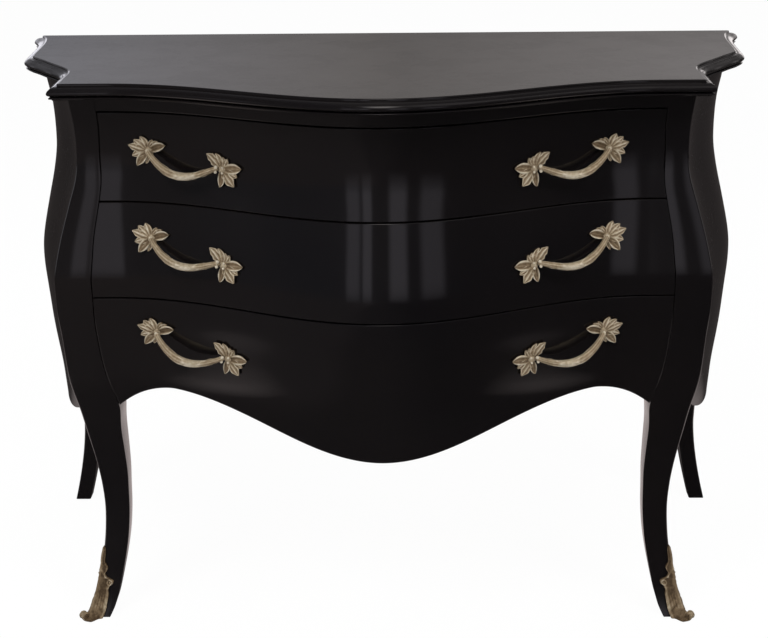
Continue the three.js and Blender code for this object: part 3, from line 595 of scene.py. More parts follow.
def steel_material():
    material, tree, shader = new_material("screw_steel")
    turned = noise(tree, place_of(tree), 700, 4, 0.6)
    feed(tree, shader, {
        "Base Color": ramp(tree, turned, [(0.3, (0.30, 0.29, 0.27)), (0.7, (0.52, 0.51, 0.49))]),
        "Metallic": 1.0,
        "Roughness": span(tree, turned, 0.3, 0.7, 0.3, 0.5),
    })
    return material


lacquer = lacquer_material()
brass = brass_material()
wood_across = wood_material("bare_wood_across", 0)
wood_deep = wood_material("bare_wood_deep", 1)
wood_upright = wood_material("bare_wood_upright", 2)
steel = steel_material()


# Top board

def top_outline():
    """The edge of the top's upper face, from the middle of its front round by the right."""
    front_steps, corner_steps, side_steps = 70, 6, 110
    x = np.linspace(0, BOW_HALF_WIDTH, front_steps + 1)
    front = np.stack([x, CORNER_PLANE - BOW_DEPTH * serpentine(x)], axis=-1)
    flat_x = np.linspace(BOW_HALF_WIDTH, TOP_CORNER_HALF, corner_steps + 1)[1:-1]
    flat = np.stack([flat_x, np.full_like(flat_x, CORNER_PLANE)], axis=-1)
    share = np.linspace(0, 1, side_steps + 1)
    side = np.stack([
        TOP_CORNER_HALF + TOP_FLARE * top_side_curve(share), CORNER_PLANE + share * CORNER_DEPTH,
    ], axis=-1)
    half = np.concatenate([front, flat, side])
    left = half[:0:-1] * (-1, 1)
    return np.concatenate([half, left])


def grown(outline, offset):
    """An outline moved out square to its edges. The back edge stays where it is."""
    before = unit(outline - np.roll(outline, 1, axis=0))
    after = unit(np.roll(outline, -1, axis=0) - outline)
    normal_before = np.stack([before[:, 1], -before[:, 0]], axis=-1)
    normal_after = np.stack([after[:, 1], -after[:, 0]], axis=-1)
    total = normal_before + normal_after
    moved = outline + total * (2 * offset / (total ** 2).sum(axis=1))[:, None]
    for i in np.flatnonzero(np.abs(outline[:, 1] - BACK_PLANE) < PIECE_GAP):
        side = normal_before[i] if outline[i, 0] > 0 else normal_after[i]
        moved[i] = (outline[i, 0] + offset / side[0], BACK_PLANE)
    return moved


def elliptic_arc(centre, radii, start, end, arc_steps):
    """Part of an ellipse, as pairs of shares. Angles from straight out, turning downward."""
    angles = np.radians(np.linspace(start, end, arc_steps + 1))
    return [(centre[0] + radii[0] * math.cos(a), centre[1] + radii[1] * math.sin(a)) for a in angles]


def molding_profile():
    """The edge, top to bottom: how far out of the projection, how far down the thickness."""
    profile = elliptic_arc((0.0, 0.06), (0.15, 0.06), -90, 0, 4)
    profile += [(0.15, 0.14), (0.20, 0.165)]
    profile += elliptic_arc((0.22, 0.56), (0.78, 0.385), -88, 0, 12)
    profile += elliptic_arc((0.22, 0.56), (0.78, 0.23), 8, 52, 4)
    profile += [(0.64, 0.765)]
    profile += elliptic_arc((0.68, 0.855), (0.19, 0.075), -75, 75, 7)
    profile += [(0.62, 0.95), (0.60, 1.0)]
    return profile


def make_top():
    outline = top_outline()
    loops = []
    for out, down in molding_profile():
        plan = grown(outline, out * MOLDING_PROJECTION)
        loops.append(at_level(plan, CHEST_HEIGHT - down * TOP_THICKNESS))
    points, faces = loft_solid(np.array(loops))
    top = make_piece("top", points, faces, [lacquer], 32)
    settle(top, "carcase", "black_lacquer", "top_board")


# Posts and legs

def leg_share(z):
    """0 above the knee, 1 below the ankle."""
    return smooth((KNEE_HEIGHT - z) / (KNEE_HEIGHT - ANKLE_HEIGHT))


def post_back_y(z):
    low = mix(FOOT_DEPTH, ANKLE_DEPTH, smooth(z / ANKLE_HEIGHT))
    return arris_y(z) + mix(POST_DEPTH, low, leg_share(z))


def front_post_loop(z):
    leg = float(leg_share(z))
    x, y, back, inner = (float(f(z)) for f in (arris_x, arris_y, post_back_y, seam_x))
    outer_back = x + float(mix(flare(back), 0, leg))
    corners = [(inner, y), (x, y), (outer_back, back), (inner + ANKLE_INSET * leg, back)]
    back_radius = mix(POST_EDGE_RADIUS, LEG_EDGE_RADIUS, leg)
    plan = rounded(corners, [POST_EDGE_RADIUS, ARRIS_RADIUS, back_radius, back_radius])
    return at_level(plan, z)


def back_post_loop(z):
    turn = max(0, 1 - z / BACK_FLARE_HEIGHT) ** BACK_FOOT_CURVE_SHARE
    outer = float(side_x(CASE_BACK - BACK_POST_DEPTH / 2, z)) + BACK_FOOT_FLARE * turn
    growth = float(smooth(z / SIDE_KNEE_HEIGHT))
    inner = outer - mix(BACK_FOOT_WIDTH, BACK_POST_WIDTH, growth)
    front = CASE_BACK - mix(BACK_FOOT_DEPTH, BACK_POST_DEPTH, growth)
    middle = (front + CASE_BACK) / 2
    lead = float(flare(front) - flare(middle))
    trail = float(flare(CASE_BACK) - flare(middle))
    corners = [(inner, front), (outer + lead, front), (outer + trail, CASE_BACK), (inner, CASE_BACK)]
    edge = mix(POST_EDGE_RADIUS, ARRIS_RADIUS, float(leg_share(z)))
    plan = rounded(corners, [edge, edge, ARRIS_RADIUS, edge])
    return at_level(plan, z)


def make_posts():
    level_count = 190
    levels = np.linspace(0, CASE_TOP - PIECE_GAP, level_count)
    for place, loop in (("front", front_post_loop), ("back", back_post_loop)):
        right = np.array([loop(z) for z in levels])
        for hand, sign in HANDS:
            points, faces = loft_solid(right * (sign, 1, 1))
            post = make_piece(f"{place}_{hand}_leg_post", points, faces, [lacquer])
            settle(post, "carcase", "black_lacquer", f"{place}_{hand}_post")


# Side panels

def side_apron(y):
    """Lower edge of a side panel: one dip between its posts."""
    front = post_back_y(KNEE_HEIGHT)
    dip = np.sin(math.pi * np.clip((y - front) / (BACK_POST_FRONT - front), 0, 1))
    return mix(KNEE_HEIGHT, SIDE_APRON_HEIGHT, dip * dip)


def make_sides():
    columns, rows = 71, 131
    u = np.linspace(0, 1, columns)[None, :]
    v = np.linspace(0, 1, rows)[:, None]
    low = side_apron(mix(CORNER_PLANE + ARRIS_SETBACK + POST_DEPTH, BACK_POST_FRONT, u))
    z = mix(low, CASE_TOP - PIECE_GAP, v)
    y = mix(post_back_y(z) + FLUSH_GAP, BACK_POST_FRONT - FLUSH_GAP, u)
    x = side_x(y, z)
    for hand, sign in HANDS:
        points, faces, _ = sheet_solid(stacked(sign * x, y, z), stacked(sign * (x - SIDE_THICKNESS), y, z))
        side = make_piece(f"{hand}_side", points, faces, [lacquer])
        settle(side, "carcase", "black_lacquer", f"{hand}_side_panel")


# Fronts

def apron(x):
    """Lower edge of the bottom drawer's front: two arches with a drop between them."""
    out = np.abs(x)
    t = out / ARCH_HALF_WIDTH
    middle = mix(DROP_HEIGHT, ARCH_HEIGHT, mix(t * t, smooth(t), ARCH_ROUND_SHARE))
    end = float(seam_x(KNEE_HEIGHT))
    ends = mix(ARCH_HEIGHT, KNEE_HEIGHT, ((out - ARCH_HALF_WIDTH) / (end - ARCH_HALF_WIDTH)) ** 2)
    return np.where(out < ARCH_HALF_WIDTH, middle, ends)


ACROSS = np.linspace(-1, 1, 221)[None, :]


def make_front(name, low, high, rows, end_gap):
    """A lacquered board that follows the front, bare behind. Its lower edge may vary across it."""
    z = mix(low, high, np.linspace(0, 1, rows + 1)[:, None])
    x = ACROSS * (seam_x(z) - end_gap)
    y = front_y(x, z)
    points, faces, inner_from = sheet_solid(stacked(x, y, z), stacked(x, y + FRONT_THICKNESS, z))
    front = make_piece(name, points, faces, [lacquer, wood_across], second_from=inner_from)
    soften(front, FRONT_EDGE_RADIUS)
    return front


def make_fronts():
    half_gap = SEAM_GAP / 2
    frieze = make_front("frieze", UPPER_SEAM + half_gap, CASE_TOP - PIECE_GAP, 10, FLUSH_GAP)
    settle(frieze, "carcase", "black_lacquer", "frieze_rail")
    knee = float(seam_x(KNEE_HEIGHT)) - half_gap
    fronts = [
        ("upper_drawer", MIDDLE_SEAM + half_gap, UPPER_SEAM - half_gap, 44),
        ("middle_drawer", LOWER_SEAM + half_gap, MIDDLE_SEAM - half_gap, 46),
        ("lower_drawer", apron(ACROSS * knee), LOWER_SEAM - half_gap, 66),
    ]
    for body, low, high, rows in fronts:
        front = make_front(f"{body}_face", low, high, rows, half_gap)
        settle(front, body, "black_lacquer", f"{body}_front")


# Brass

leaf_width_curve = curve_through(LEAF_WIDTHS)
bow_radius_curve = curve_through(BOW_RADII)
shoe_curve = curve_through(SHOE_SHARES)


def joined(parts):
    """Several closed shells as one set of points, faces and relief."""
    points, faces, relief = [], [], []
    count = 0
    for loops, levels in parts:
        shell, shell_faces = loft_solid(loops)
        points.append(shell)
        relief.append(np.broadcast_to(levels, loops.shape[:2]).ravel())
        faces += [[i + count for i in face] for face in shell_faces]
        count += len(shell)
    return np.concatenate(points), faces, np.concatenate(relief)


def on_rosette(end, outward, up, away):
    """Points by their place from a rosette's middle. The end is 1 for the outer one and -1 for the inner."""
    return stacked(end * (ROSETTE_ASIDE + outward), ROSETTE_RISE + up, away)


def leaf_shell(end, degrees, reach, half_width, tier, bend, teeth, hollow):
    """A cast leaf: raised rims round a hollow, with a rib along it and its tip curled up. Its relief, which
    sets the brass's colour, is darkened towards the root as painted shade.
    """
    s = np.linspace(0, 1, 12 + 9 * max(1, teeth))
    direction = math.radians(degrees) + bend * s * s
    distance = mix(LEAF_ROOT, reach, s)
    middle = np.stack([np.cos(direction) * distance, np.sin(direction) * distance], axis=-1)
    ahead = unit(np.gradient(middle, axis=0))
    aside = np.stack([-ahead[:, 1], ahead[:, 0]], axis=-1)
    width = half_width * leaf_width_curve(s)
    if teeth:
        width = width * (1 - TOOTH_DEPTH * np.cos(math.pi * teeth * s * 1.08) ** 2 * smooth(s / 0.3))
    rim = LEAF_RIM * (0.35 + 0.65 * np.sin(math.pi * np.clip(s, 0, 0.93)) ** 0.8)
    ground = mix(LEAF_ROOT_HEIGHT, LEAF_TIP_HEIGHT, smooth(s * 1.3)) + LEAF_CURL * s ** 4 + LEAF_TIER * tier
    # Painted shade: the leaf's relief, and so its colour, darkens towards its root, where the leaves overlap.
    bright = mix(0.35, 1.0, smooth(s / 0.5))[:, None]
    across, hollow_height, hollow_relief, ridge_height, ridge_relief = np.array(LEAF_SECTION).T
    height = mix(ridge_height, hollow_height, hollow)
    relief = mix(ridge_relief, hollow_relief, hollow)
    place = middle[:, None] + aside[:, None] * (width[:, None] * across)[:, :, None]
    away = np.maximum(PULL_BACK, ground[:, None] + rim[:, None] * height)
    return on_rosette(end, place[:, :, 0], place[:, :, 1], away), relief * bright


def bead_shell(centre, radius):
    """A ball, fully bright."""
    turn = full_turn(12)
    levels = np.linspace(-BALL_END, BALL_END, 9)[:, None]
    out = radius * np.sqrt(1 - levels ** 2)
    ball = stacked(out * np.cos(turn), out * np.sin(turn), radius * levels)
    return ball + centre, 1.0


def palm_shell(end, leaves):
    """The low ground that the leaves of a rosette rise from, so that no gaps show between them."""
    turn = full_turn(72)
    outline = np.full_like(turn, PALM_RADIUS)
    for degrees, reach, *_ in leaves:
        off = (turn - math.radians(degrees) + math.pi) % (2 * math.pi) - math.pi
        outline = np.maximum(outline, PALM_REACH * reach * hump(off, 0, PALM_SPREAD))
    share, height = np.array(PALM_SECTION).T[:, :, None]
    place = share * outline
    ribs = 0.5 + 0.5 * np.cos(PALM_RIBS * turn)
    ribbed = 0.3 * ribs * (share < 1) * (share > 0.5)
    shell = on_rosette(end, place * np.cos(turn), place * np.sin(turn), height + ribbed)
    return shell, 0.22 + 0.3 * ribs


def boss_shell(end):
    """The low dome under the leaves that the bow grows from."""
    turn = full_turn(20)
    rise = np.linspace(0, 1, 9)[:, None]
    out = BOSS_RADIUS * np.sqrt(1 - BALL_END * rise ** 2) * (1 + 0.07 * np.cos(BOSS_LOBES * turn))
    dome = on_rosette(end, out * np.cos(turn), out * np.sin(turn), mix(PULL_BACK, BOW_FOOT, rise))
    return dome, 0.35 + 0.3 * rise


def bow_middle(u):
    """The bow's middle line: out from the front and down in an arc."""
    arc = np.sin(math.pi * u)
    rise = BOW_FOOT_RISE - BOW_DROP * arc ** BOW_DROP_POWER
    aside = BOW_SHIFT + BOW_HALF_SPAN * np.cos(math.pi * u)
    return np.stack([aside, rise, mix(BOW_FOOT, BOW_STANDOFF, arc ** BOW_STANDOFF_POWER)], axis=-1)


def bow_shell():
    """The bow from its outer to its inner end: two leaf sheaths over a plain middle, and beaded collars."""
    u = np.linspace(0, 1, 91)
    middle = bow_middle(u)
    ahead = unit(np.gradient(middle, axis=0))
    side = unit(np.cross(ahead, (0, BOW_STANDOFF - BOW_FOOT, BOW_DROP)))
    other = np.cross(ahead, side)
    turn = full_turn(32)
    along = u[:, None]
    facing = np.cos(turn - BOW_FRONT)
    outer_edge = 0.40 + 0.13 * facing
    inner_edge = 0.74 - 0.10 * facing
    outer_sheath = 1 - smooth((along - outer_edge) / SHEATH_EDGE)
    inner_sheath = smooth((along - inner_edge) / SHEATH_EDGE)
    sheath = np.maximum(outer_sheath, inner_sheath)
    rims = hump(along, outer_edge - 0.016, 0.014) + hump(along, inner_edge + 0.022, 0.014)
    veins = np.cos(4 * (turn - BOW_FRONT)) ** 2
    collars = hump(along, 0.075, 0.013) + hump(along, 0.925, 0.014) * (0.6 + 0.4 * np.cos(8 * turn))
    ridge = hump(along, 0.57, 0.10) * np.maximum(0, np.cos(turn - BOW_FRONT + 0.6)) ** 6
    raised = 0.55 * sheath * (0.45 + 0.55 * veins) + 0.45 * rims + 0.95 * collars + 0.7 * ridge
    radius = bow_radius_curve(along) * BOW_CORE + raised
    loops = middle[:, None] + radius[:, :, None] * (
        side[:, None] * np.cos(turn)[:, None] + other[:, None] * np.sin(turn)[:, None])
    relief = 0.62 + 0.3 * rims + 0.35 * collars + 0.25 * ridge - 0.34 * sheath * (1 - veins)
    return loops, np.clip(relief, 0, 1)


def pull_seat(height, sign, tilt_degrees):
    """What carries points of a pull's own space onto the swelling front."""
    x0 = sign * PULL_OFFSET - PULL_SHIFT
    reach = 3 * MM              # to each side, to find how the front leans
    across = Vector((2 * reach, front_y(x0 + reach, height) - front_y(x0 - reach, height), 0)).normalized()
    up = Vector((0, front_y(x0, height + reach) - front_y(x0, height - reach), 2 * reach)).normalized()
    out = across.cross(up).normalized()
    tilt = math.radians(tilt_degrees) * sign

    def carry(points):
        aside, rise, away = (points * MM).T
        aside = aside * sign
        x = x0 + (aside * math.cos(tilt) - rise * math.sin(tilt)) * across.x
        z = height + (aside * math.sin(tilt) + rise * math.cos(tilt)) * math.hypot(out.x, out.y)
        return stacked(x, front_y(x, z), z) + away[:, None] * np.array(out)

    return carry


def make_pulls():
    parts = [leaf_shell(1, *leaf) for leaf in OUTER_LEAVES] + [leaf_shell(-1, *leaf) for leaf in INNER_LEAVES]
    parts += [palm_shell(1, OUTER_LEAVES), palm_shell(-1, INNER_LEAVES)]
    parts += [boss_shell(1), boss_shell(-1), bow_shell()]
    for end, degrees, distance, away, radius in PULL_BEADS:
        turn = math.radians(degrees)
        centre = on_rosette(end, math.cos(turn) * distance, math.sin(turn) * distance, away)
        parts.append(bead_shell(centre, radius))
    points, faces, relief = joined(parts)
    for body, height, tilt in PULL_SEATS:
        for hand, sign in HANDS:
            seat = pull_seat(height, sign, tilt)
            pull = make_piece(f"{body}_{hand}_leaf_pull", seat(points), faces, [brass], 48, relief)
            settle(pull, body, "antique_brass", f"{body}_{hand}_pull")


def round_the_arris(d):
    """Plan place and outward direction, by the distance in millimetres round the leg's arris."""
    radius = ARRIS_RADIUS / MM
    t = np.clip((d + radius) / (2 * radius), 0, 1)
    x = -radius * (1 - t) ** 2 + np.minimum(0, d + radius)
    y = radius * t ** 2 + np.maximum(0, d - radius)
    length = np.hypot(t, 1 - t)
    return x, y, t / length, -(1 - t) / length


def shoe_relief(u, v, d, z):
    """Millimetres off the shoe's plain body, for its ornament and for the swell over the toe.

    Across, u runs from -1 at the face's edge to 1 at the flank's. Upward, v runs from 0 to 1.
    """
    side = np.abs(u)
    low = 1 - smooth((v - 0.3) / 0.03)
    rims = hump(side, 0.9, 0.11) * 1.5
    rib = hump(u, 0, mix(0.10, 0.28, v)) * mix(1.1, 1.7, smooth((v - 0.5) / 0.3))
    flutes = 0.65 * np.cos(math.pi * 5 * side) ** 2 * smooth((v - 0.1) / 0.05) * low
    fronds = 1.3 * np.abs(np.sin(math.pi * (9 * v + 1.6 * side))) ** 0.7
    fronds = fronds * hump(v, 0.15, 0.09) * smooth(side / 0.2)
    upper = 0.9 * hump(v, 0.56 + 0.1 * (1 - side), 0.022) + 0.8 * hump(v, 0.4, 0.018) * side
    from_eye = np.hypot(np.abs(d) - 0.72 * SHOE_FACE_WIDTH, z - 0.475 * SHOE_HEIGHT)
    scroll = 1.9 * hump(from_eye, 3.9, 1.1) + 2.0 * hump(from_eye, 0, 1.4)
    beads = 2.2 * hump(np.hypot(np.abs(d) - 8.5, z - 0.55 * SHOE_HEIGHT), 0, 1.9)
    ornament = (rims + rib + flutes + fronds + upper + scroll + beads) * smooth((1 - v) / 0.05)
    toe_swell = 12 * np.clip(1 - v / 0.15, 0, 1) ** 2 * hump(u, -0.25, 0.42)
    return ornament, toe_swell


def toe_shell(centre):
    """The scrolled toe: a fluted roll across the corner with an eye at each end."""
    profile = [
        (-1.06, 0.1), (-1.07, 0.26), (-0.98, 0.36), (-0.96, 0.46), (-1.04, 0.58), (-1.03, 0.72),
        (-0.93, 0.84), (-0.8, 0.96), (-0.62, 1.0), (-0.46, 0.93), (-0.3, 0.97), (-0.14, 0.92), (0, 0.97),
    ]
    profile += [(-along, out) for along, out in reversed(profile[:-1])]
    along, out = np.array(profile).T[:, :, None]
    turn = full_turn(32)
    swirl = 1 - 0.05 * np.cos(3 * turn + 5 * along) ** 2 * (out > 0.8)
    reach = TOE_RADIUS * out * swirl
    axis = TOE_HALF_LENGTH * along / math.sqrt(2)
    outward = reach * np.cos(turn) / math.sqrt(2)
    roll = stacked(axis + outward, axis - outward, reach * np.sin(turn))
    relief = np.broadcast_to(np.clip(out * 0.9 - 0.4, 0.05, 0.5), roll.shape[:2])
    return roll + centre, relief


def make_shoes():
    columns, rows = 61, 117
    u = np.linspace(-1, 1, columns)[None, :]
    v = np.linspace(0, 1, rows)[:, None]
    z = v * SHOE_HEIGHT
    share = shoe_curve(v)
    face = mix(SHOE_TIP_WIDTH, SHOE_FACE_WIDTH, share)
    flank = mix(SHOE_TIP_WIDTH, SHOE_SIDE_WIDTH, share)
    d = np.where(u < 0, u * face, u * flank)
    x, y, out_x, out_y = round_the_arris(d)
    relief, toe_swell = shoe_relief(u, v, d, z)
    corner_x = arris_x(z * MM) / MM
    corner_y = arris_y(z * MM) / MM

    def layer(away):
        return stacked(corner_x + x + out_x * away, corner_y + y + out_y * away, z)

    body = mix(0.8, SHOE_BODY, smooth((1 - v) / 0.18))
    outer = layer(SHOE_GAP + body + relief + toe_swell)
    points, faces, _ = sheet_solid(outer, layer(SHOE_GAP + 0 * relief))
    tone = np.clip(relief / SHOE_RELIEF_RANGE, 0, 0.75)
    seat = TOE_RADIUS / math.sqrt(2) + SHOE_GAP
    toe_centre = (float(corner_x[0, 0]) + seat, float(corner_y[0, 0]) - seat, TOE_RADIUS)
    toe, toe_tone = toe_shell(toe_centre)
    toe_points, toe_faces = loft_solid(toe)
    faces = faces + [[i + len(points) for i in face] for face in toe_faces]
    points = np.concatenate([points, toe_points])
    tones = np.concatenate([tone.ravel(), np.full(tone.size, 0.1), toe_tone.ravel()])
    for hand, sign in HANDS:
        shoe = make_piece(f"{hand}_shoe", points * (sign * MM, MM, MM), faces, [brass], 50, tones)
        settle(shoe, "carcase", "antique_brass", f"{hand}_foot_shoe")


# Carried-over boards

def finish_boards():
    """Materials for the CAD's own meshes, by the end of their names, with the grain along each board."""
    looks = [
        (wood_across, ("rail", "dust_board", "bottom_board", "drawer_back", "drawer_bottom")),
        (wood_deep, ("runner", "kicker", "_side")), (wood_upright, ("back_panel",)), (steel, ("screw",)),
    ]
    for name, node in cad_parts.items():
        for material, endings in looks:
            if name.endswith(endings):
                node.data.materials.clear()
                node.data.materials.append(material)


# Studio

WHITE = (1, 1, 1, 1)
FLOOR_WHITE = 0.965             # the rest of what the camera sees is lit, and keeps the shadow
AMBIENT = 0.55                  # the world's light on what isn't glossy
# Lamps: name, place, what it points at, size and watts
LAMPS = [
    ("key", (-1.7, -2.2, 3.7), (0, 0, 0.5), (1.4, 1.4), 105),
    ("fill", (2.1, -1.9, 3.3), (0, 0, 0.5), (1.2, 1.2), 60),
    ("overhead", (0, 0.6, 3.4), (0, 0, 0.8), (4.0, 3.0), 34),
]
# Windows before the chest that its gloss mirrors: left and right edge, and radiance
WINDOWS = [(-1.46, -0.8, 0.40), (-0.80, -0.36, 0.52), (0.18, 1.03, 0.47), (1.36, 2.5, 0.36)]
WINDOW_PLANE, WINDOW_HEIGHT = -3.6, 2.5
WINDOW_FOOT = (0.15, 0.95)      # the heights between which it fades
WINDOW_EDGE = 0.22              # of its width, over which it fades at each side
WINDOW_COLOUR = (0.96, 0.9, 1.0)

# The room that gloss sees, by direction. A fade is an axis, a range on it, and the strength at the
# range's two ends. The room has a low and a high part, and the wall behind the chest a darker middle.
ROOM_LOW = ("right", -0.35, 0.5, 0.10, 0.03)
ROOM_HIGH = ("aside", 0.0, 0.45, 0.13, 0.04)
ROOM_TURN = ("rise", 0.35, 0.5, 0.0, 1.0)
WALL_MIDDLE = ("rise", 0.165, 0.207, 0.19, 0.277)
WALL_REST = ("rise", 0.156, 0.177, 0.25, 0.38)
WALL_TURN = ("aside", 0.0, 0.22, 0.0, 1.0)
WALL_SIDES = ("aside", 0.26, 0.33, 1.0, 0.2)
WALL_REACH = [("ahead", 0.6, 0.9, 0.0, 1.0), ("rise", 0.25, 0.42, 1.0, 0.0)]
# Glows, each a product of fades
GLOWS = [
    # For the notches at the top's ends
    [("aside", 0.27, 0.31, 0.0, 1.3), ("rise", 0.13, 0.25, 1.0, 0.0), ("ahead", 0.75, 0.9, 0.0, 1.0)],
    # For the case's sides
    [("aside", 0.62, 0.85, 0.0, 0.75), ("ahead", -0.55, -0.3, 0.0, 1.0), ("ahead", 0.3, 0.52, 1.0, 0.0),
     ("rise", 0.3, 0.65, 1.0, 0.0)],
    # Beside the wall behind the chest
    [("aside", 0.33, 0.5, 0.0, 0.15), ("ahead", 0.2, 0.4, 0.0, 1.0), ("rise", 0.1, 0.2, 0.0, 1.0),
     ("rise", 0.6, 0.8, 1.0, 0.0)],
    # For the moulding's middle, and for its right half
    [("aside", 0.04, 0.16, 2.4, 0.0), ("ahead", -0.85, -0.6, 0.0, 1.0), ("ahead", -0.35, -0.15, 1.0, 0.0),
     ("rise", 0.5, 0.7, 0.0, 1.0)],
    [("right", 0.1, 0.25, 0.0, 0.35), ("right", 0.6, 0.8, 1.0, 0.0), ("ahead", -0.7, -0.5, 0.0, 1.0),
     ("ahead", -0.1, 0.1, 1.0, 0.0), ("rise", 0.5, 0.7, 0.0, 1.0)],
]
# In the same way, by place: patches of the floor that gloss sees paler or darker than the rest
FLOOR_PATCHES = [
    # Before the chest on the left, then behind it
    [("right", -0.6, -0.35, 0.05, 0.0), ("back", -0.75, -0.4, 1.0, 0.0)],
    [("right", -0.8, 0.6, -0.03, 0.018), ("back", 0.0, 0.6, 0.0, 1.0)],
    # Under it, then beside it
    [("aside", 0.44, 0.52, 0.5, 0.0), ("back", -0.05, 0.1, 0.0, 1.0)],
    [("aside", 0.7, 0.85, 0.0, 1.0), ("aside", 1.3, 1.7, 1.0, 0.3), ("back", -0.75, -0.4, 0.0, 1.0),
     ("back", 0.1, 0.6, 1.0, 0.0)],
]


def soft_light(name, place, target, size, watts, colour, in_gloss):
    data = bpy.data.lights.new(name, "AREA")
    data.shape = "RECTANGLE"
    data.size, data.size_y = size
    data.energy = watts
    data.color = colour
    lamp = bpy.data.objects.new(name, data)
    lamp.location = place
    lamp.rotation_euler = (Vector(target) - lamp.location).to_track_quat("-Z", "Y").to_euler()
    lamp.visible_glossy = in_gloss
    bpy.context.scene.collection.objects.link(lamp)
    return data


def make_lights():
    for lamp in LAMPS:
        soft_light(*lamp, (1, 1, 1), in_gloss=False)
    for i, (left, right, radiance) in enumerate(WINDOWS):
        middle = Vector(((left + right) / 2, WINDOW_PLANE, WINDOW_HEIGHT / 2))
        watts = radiance * math.pi * (right - left) * WINDOW_HEIGHT
        size = (right - left, WINDOW_HEIGHT)
        ahead = middle + Vector((0, 1, 0))
        window = soft_light(f"window_{i + 1}", middle, ahead, size, watts, WINDOW_COLOUR, in_gloss=True)
        soften_edges(window, left, right)


def soften_edges(window, left, right):
    """Fades a window out to its sides and towards the floor."""
    tree = cleared_tree(window)
    where = put(tree, "SeparateXYZ", {"Vector": put(tree, "NewGeometry").outputs["Position"]}).outputs
    edge = WINDOW_EDGE * (right - left)
    sides = [("X", left, left + edge, 0.0, 1.0), ("X", right - edge, right, 1.0, 0.0)]
    level = faded(tree, where, ("Z", *WINDOW_FOOT, 0.0, 1.0), *sides)
    light = put(tree, "Emission", {"Strength": level})
    put(tree, "OutputLight", {"Surface": light.outputs[0]})


def with_glows(tree, strength, axes, glows):
    return combined(tree, "ADD", [strength, *(faded(tree, axes, *glow) for glow in glows)])


def blended(tree, share, first, second):
    return put(tree, "Mix", {0: share, 2: first, 3: second}).outputs[0]


def chosen(tree, share, first, second):
    """One of two shaders, or a blend of them."""
    return put(tree, "MixShader", {0: share, 1: first.outputs[0], 2: second.outputs[0]})


def make_world():
    """White to the camera. Gloss sees a dim room, with a paler wall behind the chest and a few glows."""
    world = bpy.data.worlds.new("studio")
    bpy.context.scene.world = world
    tree = cleared_tree(world)
    direction = put(tree, "SeparateXYZ", {"Vector": put(tree, "TexCoord").outputs["Generated"]}).outputs
    right = direction["X"]
    axes = {"right": right, "aside": magnitude(tree, right), "ahead": direction["Y"], "rise": direction["Z"]}
    wall = blended(tree, *(faded(tree, axes, fade) for fade in (WALL_TURN, WALL_MIDDLE, WALL_REST)))
    wall = combined(tree, "MULTIPLY", [wall, faded(tree, axes, WALL_SIDES)])
    room = blended(tree, *(faded(tree, axes, fade) for fade in (ROOM_TURN, ROOM_LOW, ROOM_HIGH)))
    room = blended(tree, faded(tree, axes, *WALL_REACH), room, wall)
    strength = with_glows(tree, room, axes, GLOWS)
    tint = ramp(tree, span(tree, right, -0.25, 0.25, 0.0, 1.0), [
        (0.0, (0.93, 0.92, 1.0)), (0.45, (1.0, 0.93, 0.90)), (1.0, (1.0, 0.94, 0.93)),
    ])
    gloss = put(tree, "Background", {"Color": tint, "Strength": strength})
    ambient = put(tree, "Background", {"Color": (0.96, 0.98, 1.0, 1), "Strength": AMBIENT})
    white = put(tree, "Background", {"Color": WHITE, "Strength": 1.0})
    path = put(tree, "LightPath").outputs
    shiny = combined(tree, "MAXIMUM", [path["Is Glossy Ray"], path["Is Transmission Ray"]])
    lit = chosen(tree, shiny, ambient, gloss)
    seen = chosen(tree, path["Is Camera Ray"], lit, white)
    put(tree, "OutputWorld", {"Surface": seen.outputs[0]})


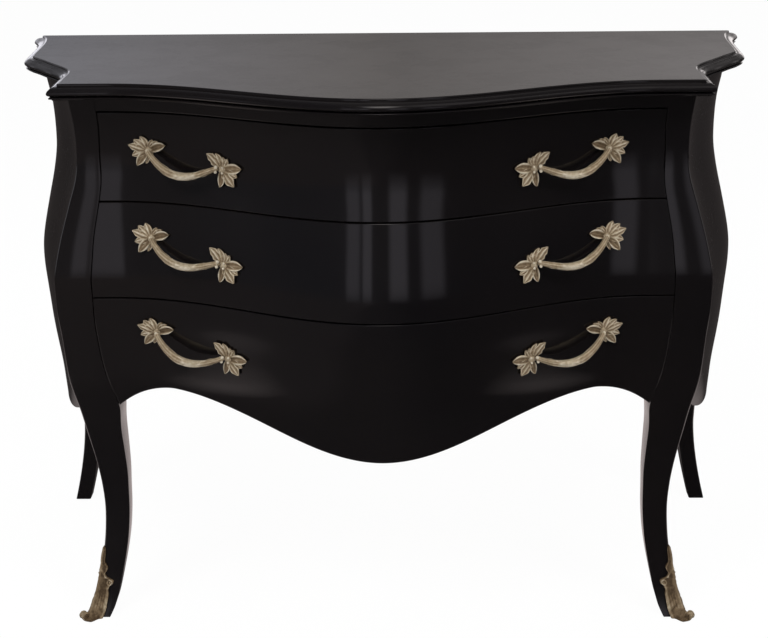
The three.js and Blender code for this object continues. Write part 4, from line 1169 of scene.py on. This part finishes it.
def make_floor():
    """A pale floor that keeps the chest's shadow. Gloss sees it dim, and from below it is clear."""
    half = 14.0
    mesh = bpy.data.meshes.new("floor")
    corners = [(-half, -half, 0), (half, -half, 0), (half, half, 0), (-half, half, 0)]
    mesh.from_pydata(corners, [], [(0, 1, 2, 3)])
    floor = bpy.data.objects.new("floor", mesh)
    bpy.context.scene.collection.objects.link(floor)
    material = bpy.data.materials.new("pale_floor")
    tree = cleared_tree(material)
    path = put(tree, "LightPath").outputs
    matt = put(tree, "BsdfDiffuse", {"Color": (0.86, 0.86, 0.86, 1)})
    white = put(tree, "Emission", {"Color": WHITE, "Strength": 1.0})
    shown = chosen(tree, combined(tree, "MULTIPLY", [path["Is Camera Ray"], FLOOR_WHITE]), matt, white)
    where = put(tree, "SeparateXYZ", {"Vector": put(tree, "TexCoord").outputs["Object"]}).outputs
    axes = {"right": where["X"], "aside": magnitude(tree, where["X"]), "back": where["Y"]}
    shade = with_glows(tree, span(tree, where["X"], 0.0, 0.6, 0.075, 0.035), axes, FLOOR_PATCHES)
    dim = put(tree, "Emission", {"Color": (1, 0.87, 0.85, 1), "Strength": shade})
    mirrored = chosen(tree, path["Is Glossy Ray"], shown, dim)
    below = put(tree, "NewGeometry").outputs["Backfacing"]
    one_sided = chosen(tree, below, mirrored, put(tree, "BsdfTransparent"))
    put(tree, "OutputMaterial", {"Surface": one_sided.outputs[0]})
    mesh.materials.append(material)


CAMERA_PLACE = (0.03616, -2.07792, 1.26401)
CAMERA_TURN, CAMERA_DIP, CAMERA_ROLL = 0.01785, 0.36774, -0.01051
FOCAL_PIXELS, IMAGE_WIDTH = 1368.778, 768


def make_camera():
    """The photograph's view, from before the chest and a little above it, looking down."""
    data = bpy.data.cameras.new("camera")
    data.sensor_fit = "HORIZONTAL"
    data.lens = data.sensor_width * FOCAL_PIXELS / IMAGE_WIDTH
    camera = bpy.data.objects.new("camera", data)
    bpy.context.scene.collection.objects.link(camera)
    sin_turn, cos_turn = math.sin(CAMERA_TURN), math.cos(CAMERA_TURN)
    ahead = Vector((-sin_turn * math.cos(CAMERA_DIP), cos_turn * math.cos(CAMERA_DIP), -math.sin(CAMERA_DIP)))
    right = Vector((cos_turn, sin_turn, 0))
    up = right.cross(ahead)
    rolled_right = right * math.cos(CAMERA_ROLL) + up * math.sin(CAMERA_ROLL)
    rolled_up = up * math.cos(CAMERA_ROLL) - right * math.sin(CAMERA_ROLL)
    axes = Matrix((rolled_right, rolled_up, -ahead)).transposed()
    camera.matrix_world = Matrix.Translation(CAMERA_PLACE) @ axes.to_4x4()
    bpy.context.scene.camera = camera


make_camera()
make_floor()
make_world()
make_lights()
finish_boards()
make_top()
make_posts()
make_sides()
make_fronts()
make_pulls()
make_shoes()

bpy.context.scene.view_settings.view_transform = "Standard"
